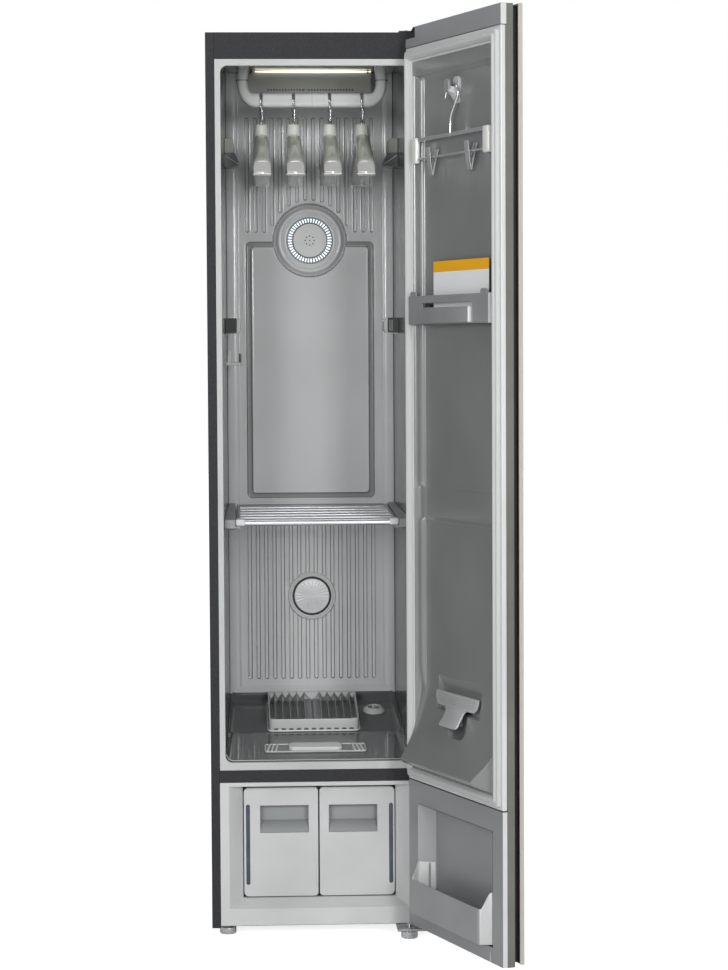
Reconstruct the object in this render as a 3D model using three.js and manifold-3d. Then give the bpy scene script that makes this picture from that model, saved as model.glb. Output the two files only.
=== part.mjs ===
// Clothes care steam cabinet: a tall narrow steel cabinet with a moulded cavity, four steam hangers
// on a duct bar, a wire shelf, two water tanks below and one full height hinged door, shown open.
// Millimetres. +X to the right, +Y to the rear, +Z up. The origin is the centre of the base pan's underside.
import * as THREE from "three";
import { mergeVertices } from "three/addons/utils/BufferGeometryUtils.js";
import Module from "manifold-3d";

const wasm = await Module();
wasm.setup();

// Shared sizes
const caseWidth = 445;
const caseDepth = 545;
const caseHeight = 1830;
const steelSheet = 1.5;
const plasticWall = 2.5;
const seam = 0.3;
const overrun = 3;
const weld = 0.0001;

// Case
const frontFlange = 17.7;
const fasciaHeight = 53;
const rearCoverWidth = 300;
const rearCoverDepth = 16;
const rearCoverBottom = 60;
const rearCoverHeight = 1440;
const louvreHeight = 8;
const louvreWidth = 180;
const louvrePitch = 22;
const louvreCount = 6;
const louvreBottom = 100;
const crossMemberDepth = 54;
const crossMemberHeight = 28;
const panFlange = 20;
const midBandBottom = 301.5;
const midBandHeight = 24.7;
const midBandThickness = 6;

// Front rim round the cavity
const rimDepth = 14;
const rimSide = 12.3;
const rimTop = 13.6;
const rimBottom = 16;
const rimCornerRadius = 14;

// Cavity
const ceilingDrop = 31.2;
const cavityBackHalfWidth = 184;
const backWallInset = 51.5;
const ceilingLipRise = 34;
const ceilingLipDepth = 43;
const floorLip = 3.3;
const floorBreakRise = 21.4;
const floorRearTilt = THREE.MathUtils.degToRad(12);
const floorFillet = 45;
const backPanelHalfWidth = 164;
const backPanelProud = 6;

// Recessed field, flutes and round seats on the back wall
const recessHalfWidth = 141;
const recessBottom = 859;
const recessTopDrop = 3;
const recessDepth = 3;
const recessCornerRadius = 11;
const fluteWidth = 7.1;
const flutePitch = 18.4;
const fluteDepth = 2;
const fluteCount = 16;
const upperFluteRise = 15;
const lowerFluteTop = 815;
const lowerFluteBottom = 449;
const ringDrop = 368.8;
const ringSeatRadius = 83;
const ringBezelRadius = 74.4;
const ringBezelProud = 6;
const lightRingRadius = 51;
const lightRingInnerRadius = 37.4;
const lightRingDepth = 5;
const ringCapRadius = 37;
const ringCapProud = 2;
const ringCapHole = 1.7;
const ringCapHolePitchRadius = 10;
const ringCapHoleCount = 8;
const lowerDiscHeight = 639;
const lowerDiscRadius = 40.1;
const lowerBezelRadius = 50.2;
const lowerDiscThickness = 4;

// Vent housing and lamp under the ceiling
const housingHalfWidth = 135;
const housingDepth = 64;
const housingDrop = 49;
const lampHalfWidth = 128;
const lampDepth = 7;
const lampHeight = 5.5;

// Duct bar
const barCentreY = -25;
const barDepth = 34;
const barHeight = 30;
const barDrop = 97.8;
const barHalfWidth = 158.5;
const barLegWidth = 22.5;
const barLegLean = 3.5;
const barJointDrop = 40.8;
const barOuterRun = 38;
const barOuterRise = 52;
const barInnerRun = 12;
const barInnerRise = 22;
const saddleRadius = 18;
const saddleWidth = 9;

// Hangers
const hangerOffset = -1;
const hangerMiddleGap = 76.4;
const hangerOuterGap = 68.6;
const hangerRearGap = 45;
const hangerNeckDrop = 49;
const hangerNeckHeight = 40;
const hangerSlope = 106;
const hangerTipHeight = 31;
const hangerWidthNeck = 27;
const hangerWidthTip = 38;
const hangerCapRadius = 13.5;
const hangerCapLap = 9;
const hookWire = 2;
const hookPivotRise = 4;
const hookTail = 9;
const hookBend = 33;

// Wall brackets
const wallBracketReach = 32;
const wallBracketLength = 70;
const wallBracketY = 80;
const upperBracketDrop = 155.8;
const upperBracketHeight = 32;
const upperBracketFoot = 30;
const middleBracketShare = 0.625;
const middleBracketHeight = 32;
const bracketFootWidth = 7;
const ledgeShare = 0.5617;
const ledgeHeight = 12;
const ledgeLength = 90;
const ledgeReach = 33;
const ledgePinRadius = 4;
const ledgePinHeight = 26;

// Wire shelf and its runners
const shelfHeight = 827.5;
const shelfFrontInset = 25.5;
const shelfTilt = THREE.MathUtils.degToRad(1.2);
const shelfHalfWidth = 166;
const shelfRearGap = 38;
const shelfRailHeight = 10.5;
const shelfRailDepth = 11;
const shelfArmWidth = 8;
const shelfRodRadius = 3;
const shelfRodMargin = 40;
const shelfRodCount = 6;
const shelfCapWidth = 18;
const shelfCapDepth = 34;
const shelfCapHeight = 14;
const shelfCapLip = 1.6;
const runnerClearance = 2.3;
const runnerLedge = 8;
const runnerHeight = 18;
const runnerLedgeHeight = 5;
const runnerFootHeight = 18;
const runnerFootLength = 80;

// Cavity floor pieces
const filterWidth = 195;
const filterRearGap = 30;
const filterHeight = 27;
const filterCornerRadius = 10;
const filterStart = 6;
const filterOffset = -3;
const filterFinsPerSide = 5;
const filterFinPitch = 16.3;
const filterCentreGap = 35;
const filterFinThickness = 2;
const filterFinClear = 3;
const plateWidth = 213;
const plateLength = 72;
const plateThickness = 2.5;
const plateCornerRadius = 8;
const plateOffset = -5;
const plateInset = 58;
const plateHandleWidth = 111;
const plateHandleDepth = 50;
const plateHandleHeight = 9;
const plateHandleRadius = 12;
const capRadius = 25;
const capHeight = 9;
const capTopRadius = 17;
const capOffset = 133;
const capPlaceShare = 0.67;
const capSlotWidth = 3;
const capSlotLength = 20;
const capSlotPitch = 6.5;
const capSlotDepth = 5;
const capSlotCount = 4;

// Lower compartment and tanks
const lowerFrameBottom = 4.4;
const lowerFrameDepth = 32;
const bayHalfWidth = 157.5;
const bayBottom = 57.3;
const bayTop = 292.5;
const bayDepthShare = 0.4514;
const mouthHalfWidth = 186;
const mouthBottom = 39;
const mouthTop = 292.5;
const tankInset = 29;
const tankClearance = 0.6;
const tankMiddle = -1;
const tankRearGap = 10;
const tankHeight = 228.5;
const tankCornerRadius = 11;
const gripWidth = 100;
const gripHeight = 56.5;
const gripBottom = 191.5;
const gripDepth = 26;
const gripOffset = 71;
const portRadius = 9;
const portHeight = 75;

// Feet
const footDrop = 20;
const footPadHeight = 16;
const footPadRadius = 17;
const footStemRadius = 5;
const footStemLength = 13;
const footX = 190;
const frontFootInset = 44.5;
const rearFootInset = 26.5;
const hingeFootX = 182.5;
const hingeFootReach = 23.5;
const footHoleClearance = 0.4;

// Door hinge
const hingeX = 207;
const hingeStandoff = 36;
const doorOpening = THREE.MathUtils.degToRad(110.5);
const hingePinRadius = 4;
const hingePinClearance = 0.4;
const hingePlate = 3;
const hingePinLength = 32;
const hingePlateBack = 46;
const hingePlateWidth = 52;
const hingeArmHalfWidth = 11;
const hingeArmReach = 13;
const hingeBossRadius = 9;
const hingeBossDrop = 12;
const hingeArmLap = 32;
const lowerPlateHeight = 4;
const lowerPlateDrop = 1;
const lowerPlateHalfWidth = 12;
const lowerPlateInner = 157;
const lowerPlateFlange = 4;
const lowerBossRadius = 9;

// Door
const doorInnerEdge = 8;
const doorInnerWidth = 432.5;
const doorInnerFace = 24;
const doorBottom = 13;
const doorRise = 2;
const doorOuterOverhang = 7.5;
const glassThickness = 5;
const glassFace = -18;
const glassLift = 5;
const gripRecess = 8;
const gripHingeRecess = 1;
const gripFrameDepth = 10.5;
const gripFrameWidth = 26;
const coreInset = 20;
const coreSkin = 2.7;
const innerFrameThickness = 10.3;
const innerFrameBottom = 313.5;
const innerFrameDrop = 40;
const innerFrameSide = 29;
const innerFrameTopBand = 30;
const innerFrameBottomBand = 27;
const gasketWidth = 20;
const gasketInset = 6;
const gasketThickness = 11.2;
const gasketCrown = 3;
const linerThickness = 3;
const linerRecessFace = 10;
const lowerPanelGap = 2;
const lowerRecessSide = 44;
const lowerRecessTop = 268;
const lowerRecessBottom = 44;
const lowerRecessDepth = 30;
const lowerRecessDraft = 24;
const hingeNotchWidth = 44;
const hingeNotchHeight = 21;

// Upper door liner: stations of the bulge near the bottom
const bulgeTop = 520;
const bulgeMiddle = 422;
const bulgeBottom = 359;
const bulgeUndercut = 18;
const bulgeFace = 56;
const linerSideSlope = 17;
const linerTopSlope = 30;

// Door bin
const binFrontFace = 49;
const binFrontBottom = 49;
const binFrontTop = 118;
const binWingTop = 150;
const binFrontSide = 54;
const binBackSide = 66;
const binMouthSide = 46;
const binWall = 2.2;

// Hook, trouser hanger, clips, rack and press clip on the door
const doorHookDrop = 92;
const doorHookWidth = 8;
const doorHookReach = 24;
const doorHookPlate = 36;
const doorHookLip = 8;
const hangPlane = 27;
const hangWire = 2;
const hangDrop = 91;
const hangCapHeight = 51;
const hangHalfLength = 176;
const hangCapLength = 11;
const hangCapDepth = 10;
const hangBarHeight = 10;
const hangBarDepth = 7;
const hangRodRadius = 3;
const hangRodRise = 8;
const hangHookRadius = 12;
const hangHookDrop = 8.7;
const hangHookTurn = THREE.MathUtils.degToRad(240);
const clipOffset = 88;
const clipWidth = 30;
const clipRise = 12;
const clipHeight = 48;
const clipDepth = 15;
const clipBore = 3.5;
const clipMouth = 4.5;
const clipMouthHeight = 22;
const rackSide = 33;
const rackDrop = 235;
const rackHeight = 58;
const rackDepth = 25;
const rackWall = 2.5;
const rackTabHeight = 9;
const rackTabWidth = 28;
const rackTabInset = 8;
const pressHalfWidth = 95;
const pressTop = 509;
const pressLength = 66;
const pressThickness = 5;
const pressNoseWidth = 50;
const pressLift = 0.6;
const pressShoulderShare = 0.42;
const pressNeckShare = 0.6;

// Machinery behind the tanks
const compressorX = -120;
const compressorPlaceShare = 0.55;
const compressorRadius = 58;
const compressorHeight = 175;
const compressorFlange = 72;
const compressorFlangeHeight = 8;
const compressorDomeShares = [[1, 0.8], [0.8, 0.95], [0.35, 1]];
const exchangerX = 45;
const exchangerPlaceShare = 0.29;
const exchangerWidth = 170;
const exchangerDepth = 80;
const exchangerHeight = 190;
const exchangerFinCount = 12;
const exchangerFinGap = 4;
const exchangerFinDepth = 12;
const blowerX = 110;
const blowerPlaceShare = 0.77;
const blowerHousingRadius = 62;
const blowerHousingDepth = 62;
const blowerWall = 3;
const blowerInletRadius = 36;
const blowerLift = 66;
const blowerFootWidth = 90;
const blowerWheelRadius = 48;
const blowerWheelDepth = 40;
const blowerBoss = 7;
const blowerBladeCount = 9;
const blowerBladeThickness = 3;
const steamX = 10;
const steamPlaceShare = 0.77;
const steamWidth = 70;
const steamDepth = 60;
const steamHeight = 90;
const steamNozzleRadius = 8;
const steamNozzleHeight = 22;
const boardWidth = 210;
const boardDepth = 120;
const boardHeight = 20;
const boardY = 60;

// Finishes
const charcoalSteel = { color: 0x434345, roughness: 0.55, metalness: 0.4 };
const lightPlastic = { color: 0xb4b6b6, roughness: 0.45, metalness: 0 };
const linerPlastic = { color: 0x8e9192, roughness: 0.35, metalness: 0 };
const doorPlastic = { color: 0x7b7e80, roughness: 0.4, metalness: 0 };
const blackPlastic = { color: 0x161617, roughness: 0.5, metalness: 0 };
const blackGlass = { color: 0x26282b, roughness: 0.08, metalness: 0.1 };
const plainSteel = { color: 0xa7a9ab, roughness: 0.35, metalness: 0.9 };
const silverPaint = { color: 0xc3c4c6, roughness: 0.3, metalness: 0.6 };
const lampWhite = { color: 0xf6f8ff, roughness: 0.4, metalness: 0 };
const warmPlastic = { color: 0xc9c8c4, roughness: 0.4, metalness: 0 };
const greyRubber = { color: 0x9d9fa0, roughness: 0.8, metalness: 0 };
const machineBlack = { color: 0x232427, roughness: 0.5, metalness: 0.3 };
const finAluminium = { color: 0xb9bcc0, roughness: 0.4, metalness: 0.9 };

// Derived places
const halfWidth = caseWidth / 2;
const frontY = -caseDepth / 2;
const backY = caseDepth / 2;
const betweenFlanges = halfWidth - frontFlange - seam;
const betweenPanels = halfWidth - steelSheet - seam;
const fasciaBottom = caseHeight - fasciaHeight;
const rimBackY = frontY + rimDepth;
const rimFloor = midBandBottom + midBandHeight + seam;
const rimRoof = fasciaBottom - seam;
const openingHalfWidth = betweenFlanges - rimSide;
const openingFloor = rimFloor + rimBottom;
const openingRoof = rimRoof - rimTop;
const linerFrontY = rimBackY + seam;
const wallY = backY - backWallInset;
const floorFrontZ = openingFloor + floorLip;
const floorBreakZ = openingFloor + floorBreakRise;
const floorFrontTilt = Math.atan2(floorBreakZ - floorFrontZ, -linerFrontY);
const ceilingZ = caseHeight - ceilingDrop;
const panelFaceY = wallY - backPanelProud;
const tankFrontY = frontY + tankInset;

// Depths that follow the case
const hingeY = frontY - hingeStandoff;
const frontFootY = frontY + frontFootInset;
const rearFootY = backY - rearFootInset;
const hingeFootY = frontY - hingeFootReach;
const shelfFrontY = frontY + shelfFrontInset;
const shelfDepth = wallY - shelfRearGap - shelfFrontY;
const shelfRodPitch = (shelfDepth - shelfRodMargin) / shelfRodCount;
const filterLength = wallY - filterRearGap - filterStart;
const capStart = filterStart + filterLength * capPlaceShare;
const plateStart = linerFrontY + plateInset;
const bayDepth = caseDepth * bayDepthShare;
const tankDepth = bayDepth - tankRearGap;
const panFrontY = rimBackY + lowerPlateFlange + seam + seam;
const panRearY = backY - steelSheet - seam;
const machineFrontY = tankFrontY + bayDepth;
const machineRoom = panRearY - crossMemberDepth - machineFrontY;
const compressorY = machineFrontY + machineRoom * compressorPlaceShare;
const exchangerY = machineFrontY + machineRoom * exchangerPlaceShare;
const blowerY = machineFrontY + machineRoom * blowerPlaceShare;
const steamY = machineFrontY + machineRoom * steamPlaceShare;
const hangerReach = panelFaceY - hangerRearGap - barCentreY;

// Heights that hang from the ceiling of the cavity
const ringHeight = ceilingZ - ringDrop;
const recessTop = ringHeight - recessTopDrop;
const barBottom = ceilingZ - barDrop;
const upperFluteTop = barBottom;
const upperFluteBottom = ringHeight + upperFluteRise;
const barJointHeight = ceilingZ - barJointDrop;
const hookPivotHeight = barBottom + hookPivotRise;
const hangerNeckTop = hookPivotHeight - hangerNeckDrop;
const hangerNeckBottom = hangerNeckTop - hangerNeckHeight;
const hangerTipTop = hangerNeckTop - hangerSlope;
const hangerTipBottom = hangerTipTop - hangerTipHeight;
const hangerCapTop = hangerNeckTop + hangerCapLap;
const upperBracketTop = ceilingZ - upperBracketDrop;
const cavityHeight = ceilingZ - floorFrontZ;
const middleBracketTop = floorFrontZ + cavityHeight * middleBracketShare;
const ledgeTop = floorFrontZ + cavityHeight * ledgeShare;

// Heights that hang from the top of the door
const doorTop = caseHeight + doorRise;
const innerFrameTop = doorTop - innerFrameDrop;
const doorHookHeight = innerFrameTop - doorHookDrop;
const hangTop = doorHookHeight - hangDrop;
const hangBottom = hangTop - hangCapHeight;
const hangRodHeight = hangBottom + hangRodRise;
const clipTop = hangRodHeight + clipRise;
const clipBottom = clipTop - clipHeight;
const clipMouthTop = clipBottom + clipMouthHeight;
const rackTop = clipBottom - rackDrop;
const rackBottom = rackTop - rackHeight;

// Shape helpers
function slab(x0, x1, y0, y1, z0, z1) {
  const geometry = new THREE.BoxGeometry(x1 - x0, y1 - y0, z1 - z0);
  geometry.translate((x0 + x1) / 2, (y0 + y1) / 2, (z0 + z1) / 2);
  return geometry;
}

function outline(points) {
  return new THREE.Shape(points.map(([a, b]) => new THREE.Vector2(a, b)));
}

// An outline with rounded corners, given by its limits
function roundedOutline(a0, a1, b0, b1, radius) {
  const quarter = Math.PI / 2;
  const shape = new THREE.Shape();
  shape.moveTo(a0 + radius, b0);
  shape.lineTo(a1 - radius, b0);
  shape.absarc(a1 - radius, b0 + radius, radius, -quarter, 0);
  shape.lineTo(a1, b1 - radius);
  shape.absarc(a1 - radius, b1 - radius, radius, 0, quarter);
  shape.lineTo(a0 + radius, b1);
  shape.absarc(a0 + radius, b1 - radius, radius, quarter, Math.PI);
  shape.lineTo(a0, b0 + radius);
  shape.absarc(a0 + radius, b0 + radius, radius, Math.PI, Math.PI + quarter);
  return shape;
}

function asShape(drawing) {
  return drawing instanceof THREE.Shape ? drawing : outline(drawing);
}

// Outline in X and Y, extruded from z0 to z1
function upright(drawing, z0, z1, curveSegments = 4) {
  const options = { depth: z1 - z0, bevelEnabled: false, curveSegments };
  const geometry = new THREE.ExtrudeGeometry(asShape(drawing), options);
  geometry.translate(0, 0, z0);
  return geometry;
}

// Outline in Y and Z, extruded from x0 to x1
function crosswise(drawing, x0, x1, curveSegments = 4) {
  const geometry = upright(drawing, x0, x1, curveSegments);
  const turn = new THREE.Matrix4().makeBasis(
    new THREE.Vector3(0, 1, 0),
    new THREE.Vector3(0, 0, 1),
    new THREE.Vector3(1, 0, 0)
  );
  return geometry.applyMatrix4(turn);
}

// Outline in X and Z, extruded from y0 to y1
function lengthwise(drawing, y0, y1, curveSegments = 4) {
  const geometry = upright(drawing, -y1, -y0, curveSegments);
  return geometry.rotateX(Math.PI / 2);
}

// Round bar along Y from y0 to y1
function roundAlongY(radius, y0, y1, x, z, sides) {
  const geometry = new THREE.CylinderGeometry(radius, radius, y1 - y0, sides);
  return geometry.translate(x, (y0 + y1) / 2, z);
}

function roundAlongX(radius, x0, x1, y, z, sides) {
  const geometry = new THREE.CylinderGeometry(radius, radius, x1 - x0, sides);
  geometry.rotateZ(Math.PI / 2);
  return geometry.translate((x0 + x1) / 2, y, z);
}

function roundAlongZ(radius, z0, z1, x, y, sides) {
  const geometry = new THREE.CylinderGeometry(radius, radius, z1 - z0, sides);
  geometry.rotateX(Math.PI / 2);
  return geometry.translate(x, y, (z0 + z1) / 2);
}

// Closed skin through rings that all have the same number of points
function loft(rings) {
  const count = rings[0].length;
  const positions = rings.flat(2);
  const faces = [];
  for (let ring = 0; ring + 1 < rings.length; ring += 1) {
    for (let point = 0; point < count; point += 1) {
      const next = (point + 1) % count;
      const a = ring * count + point;
      const b = ring * count + next;
      faces.push(a, b, b + count, a, b + count, a + count);
    }
  }
  const last = (rings.length - 1) * count;
  for (let point = 1; point + 1 < count; point += 1) {
    faces.push(0, point + 1, point, last, last + point, last + point + 1);
  }
  const geometry = new THREE.BufferGeometry();
  geometry.setAttribute("position", new THREE.Float32BufferAttribute(positions, 3));
  geometry.setIndex(faces);
  return geometry;
}

function solid(geometry) {
  const bare = geometry.clone();
  bare.deleteAttribute("normal");
  bare.deleteAttribute("uv");
  const merged = mergeVertices(bare, weld);
  const vertProperties = merged.attributes.position.array;
  const triVerts = Uint32Array.from(merged.index.array);
  return new wasm.Manifold(new wasm.Mesh({ numProp: 3, vertProperties, triVerts }));
}

function skin(body) {
  const mesh = body.getMesh();
  const geometry = new THREE.BufferGeometry();
  geometry.setAttribute("position", new THREE.BufferAttribute(mesh.vertProperties, 3));
  geometry.setIndex(new THREE.BufferAttribute(mesh.triVerts, 1));
  geometry.computeVertexNormals();
  return geometry;
}

function join(shapes) {
  return skin(shapes.map(solid).reduce((whole, shape) => whole.add(shape)));
}

function cut(base, tools) {
  return skin(tools.map(solid).reduce((rest, tool) => rest.subtract(tool), solid(base)));
}

function common(base, limit) {
  return skin(solid(base).intersect(solid(limit)));
}

// The same shape on the other side of the X = 0 plane
function mirrored(geometry) {
  const copy = mergeVertices(geometry.clone(), weld);
  copy.scale(-1, 1, 1);
  const faces = copy.index.array;
  for (let face = 0; face < faces.length; face += 3) {
    [faces[face + 1], faces[face + 2]] = [faces[face + 2], faces[face + 1]];
  }
  return copy;
}

function place(parent, name, geometry, finish) {
  const mesh = new THREE.Mesh(geometry, new THREE.MeshStandardMaterial(finish));
  mesh.name = name;
  parent.add(mesh);
}

const cabinet = new THREE.Group();

// Outer case
function sidePanel() {
  return upright([
    [-halfWidth, frontY],
    [-halfWidth + frontFlange, frontY],
    [-halfWidth + frontFlange, frontY + steelSheet],
    [-halfWidth + steelSheet, frontY + steelSheet],
    [-halfWidth + steelSheet, backY],
    [-halfWidth, backY],
  ], 0, caseHeight);
}

function topPanel() {
  const sheetBottom = caseHeight - steelSheet;
  const behindFlange = frontY + steelSheet + seam;
  return join([
    slab(-betweenPanels, betweenPanels, behindFlange, backY - steelSheet - seam, sheetBottom, caseHeight),
    slab(-betweenFlanges, betweenFlanges, frontY, frontY + steelSheet, fasciaBottom, caseHeight),
    slab(-betweenFlanges, betweenFlanges, frontY, behindFlange + overrun, sheetBottom, caseHeight),
  ]);
}

function rearPanel() {
  const coverHalf = rearCoverWidth / 2;
  const coverTop = rearCoverBottom + rearCoverHeight;
  const sheetTop = caseHeight - steelSheet - seam;
  const inner = coverHalf - steelSheet;
  const louvres = [];
  for (let slot = 0; slot < louvreCount; slot += 1) {
    const bottom = louvreBottom + slot * louvrePitch;
    const half = louvreWidth / 2;
    louvres.push(slab(-half, half, backY, backY + rearCoverDepth + overrun, bottom, bottom + louvreHeight));
  }
  const pan = join([
    slab(-betweenPanels, betweenPanels, backY - steelSheet, backY, seam, sheetTop),
    slab(-coverHalf, coverHalf, backY - steelSheet, backY + rearCoverDepth, rearCoverBottom, coverTop),
  ]);
  const hollow = slab(
    -inner, inner, backY - steelSheet - overrun, backY + rearCoverDepth - steelSheet,
    rearCoverBottom + steelSheet, coverTop - steelSheet
  );
  return cut(pan, [hollow, ...louvres]);
}

// Folded pan with a deeper channel at the front and the rear for the feet
function basePan() {
  const side = betweenPanels - steelSheet;
  const front = panFrontY + crossMemberDepth;
  const rear = panRearY - crossMemberDepth;
  const body = join([
    slab(-betweenPanels, betweenPanels, panFrontY, panRearY, 0, panFlange),
    slab(-betweenPanels, betweenPanels, panFrontY, front, 0, crossMemberHeight),
    slab(-betweenPanels, betweenPanels, rear, panRearY, 0, crossMemberHeight),
  ]);
  const clear = crossMemberHeight + overrun;
  const feet = [[-footX, frontFootY], [-footX, rearFootY], [footX, rearFootY]];
  const holes = feet.map(([x, y]) =>
    roundAlongZ(footStemRadius + footHoleClearance, -overrun, steelSheet + overrun, x, y, 12)
  );
  return cut(body, [
    slab(-side, side, panFrontY + steelSheet, front - steelSheet, steelSheet, clear),
    slab(-side, side, front, rear, steelSheet, clear),
    slab(-side, side, rear + steelSheet, panRearY - steelSheet, steelSheet, clear),
    ...holes,
  ]);
}

// Levelling foot: a round pad under a screw stem, turning about its own stem
function foot() {
  const padTop = -footDrop + footPadHeight;
  const edge = footPadHeight / 8;
  const profile = [
    [0, -footDrop],
    [footPadRadius - edge, -footDrop],
    [footPadRadius, -footDrop + edge],
    [footPadRadius, padTop - edge],
    [footPadRadius - edge, padTop],
    [footStemRadius, padTop],
    [footStemRadius, padTop + footStemLength],
    [0, padTop + footStemLength],
  ].map(([radius, height]) => new THREE.Vector2(radius, height));
  return new THREE.LatheGeometry(profile, 16).rotateX(Math.PI / 2);
}

function placeFoot(name, x, y) {
  const stand = new THREE.Group();
  stand.position.set(x, y, 0);
  place(stand, name, foot(), plainSteel);
  cabinet.add(stand);
}

place(cabinet, "left_side_panel", sidePanel(), charcoalSteel);
place(cabinet, "right_side_panel", mirrored(sidePanel()), charcoalSteel);
place(cabinet, "top_panel", topPanel(), charcoalSteel);
place(cabinet, "rear_panel", rearPanel(), charcoalSteel);
place(cabinet, "base_pan", basePan(), plainSteel);
place(cabinet, "mid_band", slab(
  -betweenFlanges, betweenFlanges, frontY, frontY + midBandThickness,
  midBandBottom, midBandBottom + midBandHeight
), charcoalSteel);
placeFoot("foot_front_left", -footX, frontFootY);
placeFoot("foot_front_right", hingeFootX, hingeFootY);
placeFoot("foot_rear_left", -footX, rearFootY);
placeFoot("foot_rear_right", footX, rearFootY);

// Cavity
function frontRim() {
  const frame = outline([
    [-betweenFlanges, rimFloor],
    [betweenFlanges, rimFloor],
    [betweenFlanges, rimRoof],
    [-betweenFlanges, rimRoof],
  ]);
  frame.holes.push(roundedOutline(
    -openingHalfWidth, openingHalfWidth, openingFloor, openingRoof, rimCornerRadius
  ));
  return lengthwise(frame, frontY, rimBackY, 5);
}

// Half width of the tapered cavity at a depth
function cavityHalfWidth(y) {
  const share = (y - rimBackY) / (wallY - rimBackY);
  return openingHalfWidth + (cavityBackHalfWidth - openingHalfWidth) * share;
}

const wallBackY = wallY + plasticWall;

function sideWall() {
  return upright([
    [-cavityHalfWidth(linerFrontY), linerFrontY],
    [-cavityHalfWidth(wallBackY), wallBackY],
    [-cavityHalfWidth(wallBackY) - plasticWall, wallBackY],
    [-cavityHalfWidth(linerFrontY) - plasticWall, linerFrontY],
  ], openingFloor - plasticWall, ceilingZ + plasticWall);
}

// The space between the side walls, which trims the floor and the ceiling
function betweenWalls() {
  const front = cavityHalfWidth(linerFrontY) - seam;
  const back = cavityHalfWidth(wallBackY) - seam;
  return upright([
    [-front, linerFrontY],
    [front, linerFrontY],
    [back, wallBackY],
    [-back, wallBackY],
  ], 0, caseHeight);
}

function ceiling() {
  const lipY = linerFrontY + ceilingLipDepth;
  const lipZ = ceilingZ - ceilingLipRise;
  const roof = crosswise([
    [linerFrontY, lipZ],
    [lipY, ceilingZ],
    [wallBackY, ceilingZ],
    [wallBackY, ceilingZ + plasticWall],
    [lipY - plasticWall, ceilingZ + plasticWall],
    [linerFrontY, lipZ + plasticWall],
  ], -halfWidth, halfWidth);
  const housingFront = panelFaceY - seam - housingDepth;
  const housing = slab(
    -housingHalfWidth, housingHalfWidth, housingFront, panelFaceY - seam,
    ceilingZ - housingDrop, ceilingZ + plasticWall
  );
  const inside = slab(
    -housingHalfWidth + plasticWall, housingHalfWidth - plasticWall,
    housingFront + plasticWall, panelFaceY - seam - plasticWall,
    ceilingZ - housingDrop + plasticWall, ceilingZ + plasticWall + overrun
  );
  return cut(join([common(roof, betweenWalls()), housing]), [inside]);
}

// Top line of the floor in Y and Z, moved down by an offset
function floorLine(offset) {
  const filletRadius = floorFillet + offset;
  const centreY = wallY - seam - floorFillet;
  const centreZ = floorBreakZ + centreY * Math.tan(floorRearTilt) + floorFillet / Math.cos(floorRearTilt);
  const line = [[linerFrontY, floorFrontZ - offset], [0, floorBreakZ - offset]];
  const steps = 5;
  for (let step = 0; step <= steps; step += 1) {
    const angle = (floorRearTilt - Math.PI / 2) * (1 - step / steps);
    line.push([centreY + filletRadius * Math.cos(angle), centreZ + filletRadius * Math.sin(angle)]);
  }
  return line;
}

const floorBackTopZ = floorLine(0).at(-1)[1];

function cavityFloor() {
  const profile = [...floorLine(0), ...floorLine(plasticWall).reverse()];
  return common(crosswise(profile, -halfWidth, halfWidth), betweenWalls());
}

function flute(x, bottom, top) {
  const half = fluteWidth / 2;
  const corner = half / 2;
  return lengthwise([
    [x - half + corner, bottom],
    [x + half - corner, bottom],
    [x + half, bottom + corner],
    [x + half, top - corner],
    [x + half - corner, top],
    [x - half + corner, top],
    [x - half, top - corner],
    [x - half, bottom + corner],
  ], panelFaceY - overrun, panelFaceY + fluteDepth);
}

function flutes() {
  const grooves = [];
  for (let index = 0; index < fluteCount; index += 1) {
    const x = (index - (fluteCount - 1) / 2) * flutePitch;
    const reach = Math.sqrt(Math.max(ringSeatRadius * ringSeatRadius - x * x, 0));
    grooves.push(flute(x, Math.max(upperFluteBottom, ringHeight + reach), upperFluteTop));
    grooves.push(flute(x, lowerFluteBottom, lowerFluteTop));
  }
  return grooves;
}

const bezelFaceY = panelFaceY - ringBezelProud;

function backWall() {
  const ahead = bezelFaceY - overrun;
  const lightSeat = bezelFaceY + lightRingDepth;
  const discSeat = bezelFaceY + lowerDiscThickness;
  const bottom = floorBackTopZ + seam;
  const top = ceilingZ - seam;
  const half = cavityHalfWidth(wallBackY) - seam;
  const wide = slab(-half, half, wallY, wallBackY, bottom, top);
  const raised = slab(-backPanelHalfWidth, backPanelHalfWidth, panelFaceY, wallBackY, bottom, top);
  const field = cut(
    lengthwise(
      roundedOutline(-recessHalfWidth, recessHalfWidth, recessBottom, recessTop, recessCornerRadius),
      panelFaceY - overrun, panelFaceY + recessDepth
    ),
    [roundAlongY(ringSeatRadius, panelFaceY - overrun - overrun, wallY, 0, ringHeight, 36)]
  );
  const rearPocket = slab(
    -backPanelHalfWidth + plasticWall, backPanelHalfWidth - plasticWall,
    panelFaceY + recessDepth + fluteDepth, wallBackY + overrun,
    bottom + plasticWall, top - plasticWall
  );
  const body = join([
    cut(join([wide, raised]), [field, rearPocket, ...flutes()]),
    roundAlongY(ringBezelRadius, bezelFaceY, panelFaceY + recessDepth, 0, ringHeight, 36),
    roundAlongY(lowerBezelRadius, bezelFaceY, panelFaceY + recessDepth, 0, lowerDiscHeight, 28),
  ]);
  return cut(body, [
    roundAlongY(lightRingRadius + seam, ahead, lightSeat, 0, ringHeight, 36),
    roundAlongY(lowerDiscRadius + seam, ahead, discSeat, 0, lowerDiscHeight, 28),
  ]);
}

function lightRing() {
  const back = bezelFaceY + lightRingDepth - seam;
  const ring = roundAlongY(lightRingRadius, bezelFaceY, back, 0, ringHeight, 36);
  return cut(ring, [
    roundAlongY(lightRingInnerRadius, bezelFaceY - overrun, back + overrun, 0, ringHeight, 36),
  ]);
}

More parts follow.
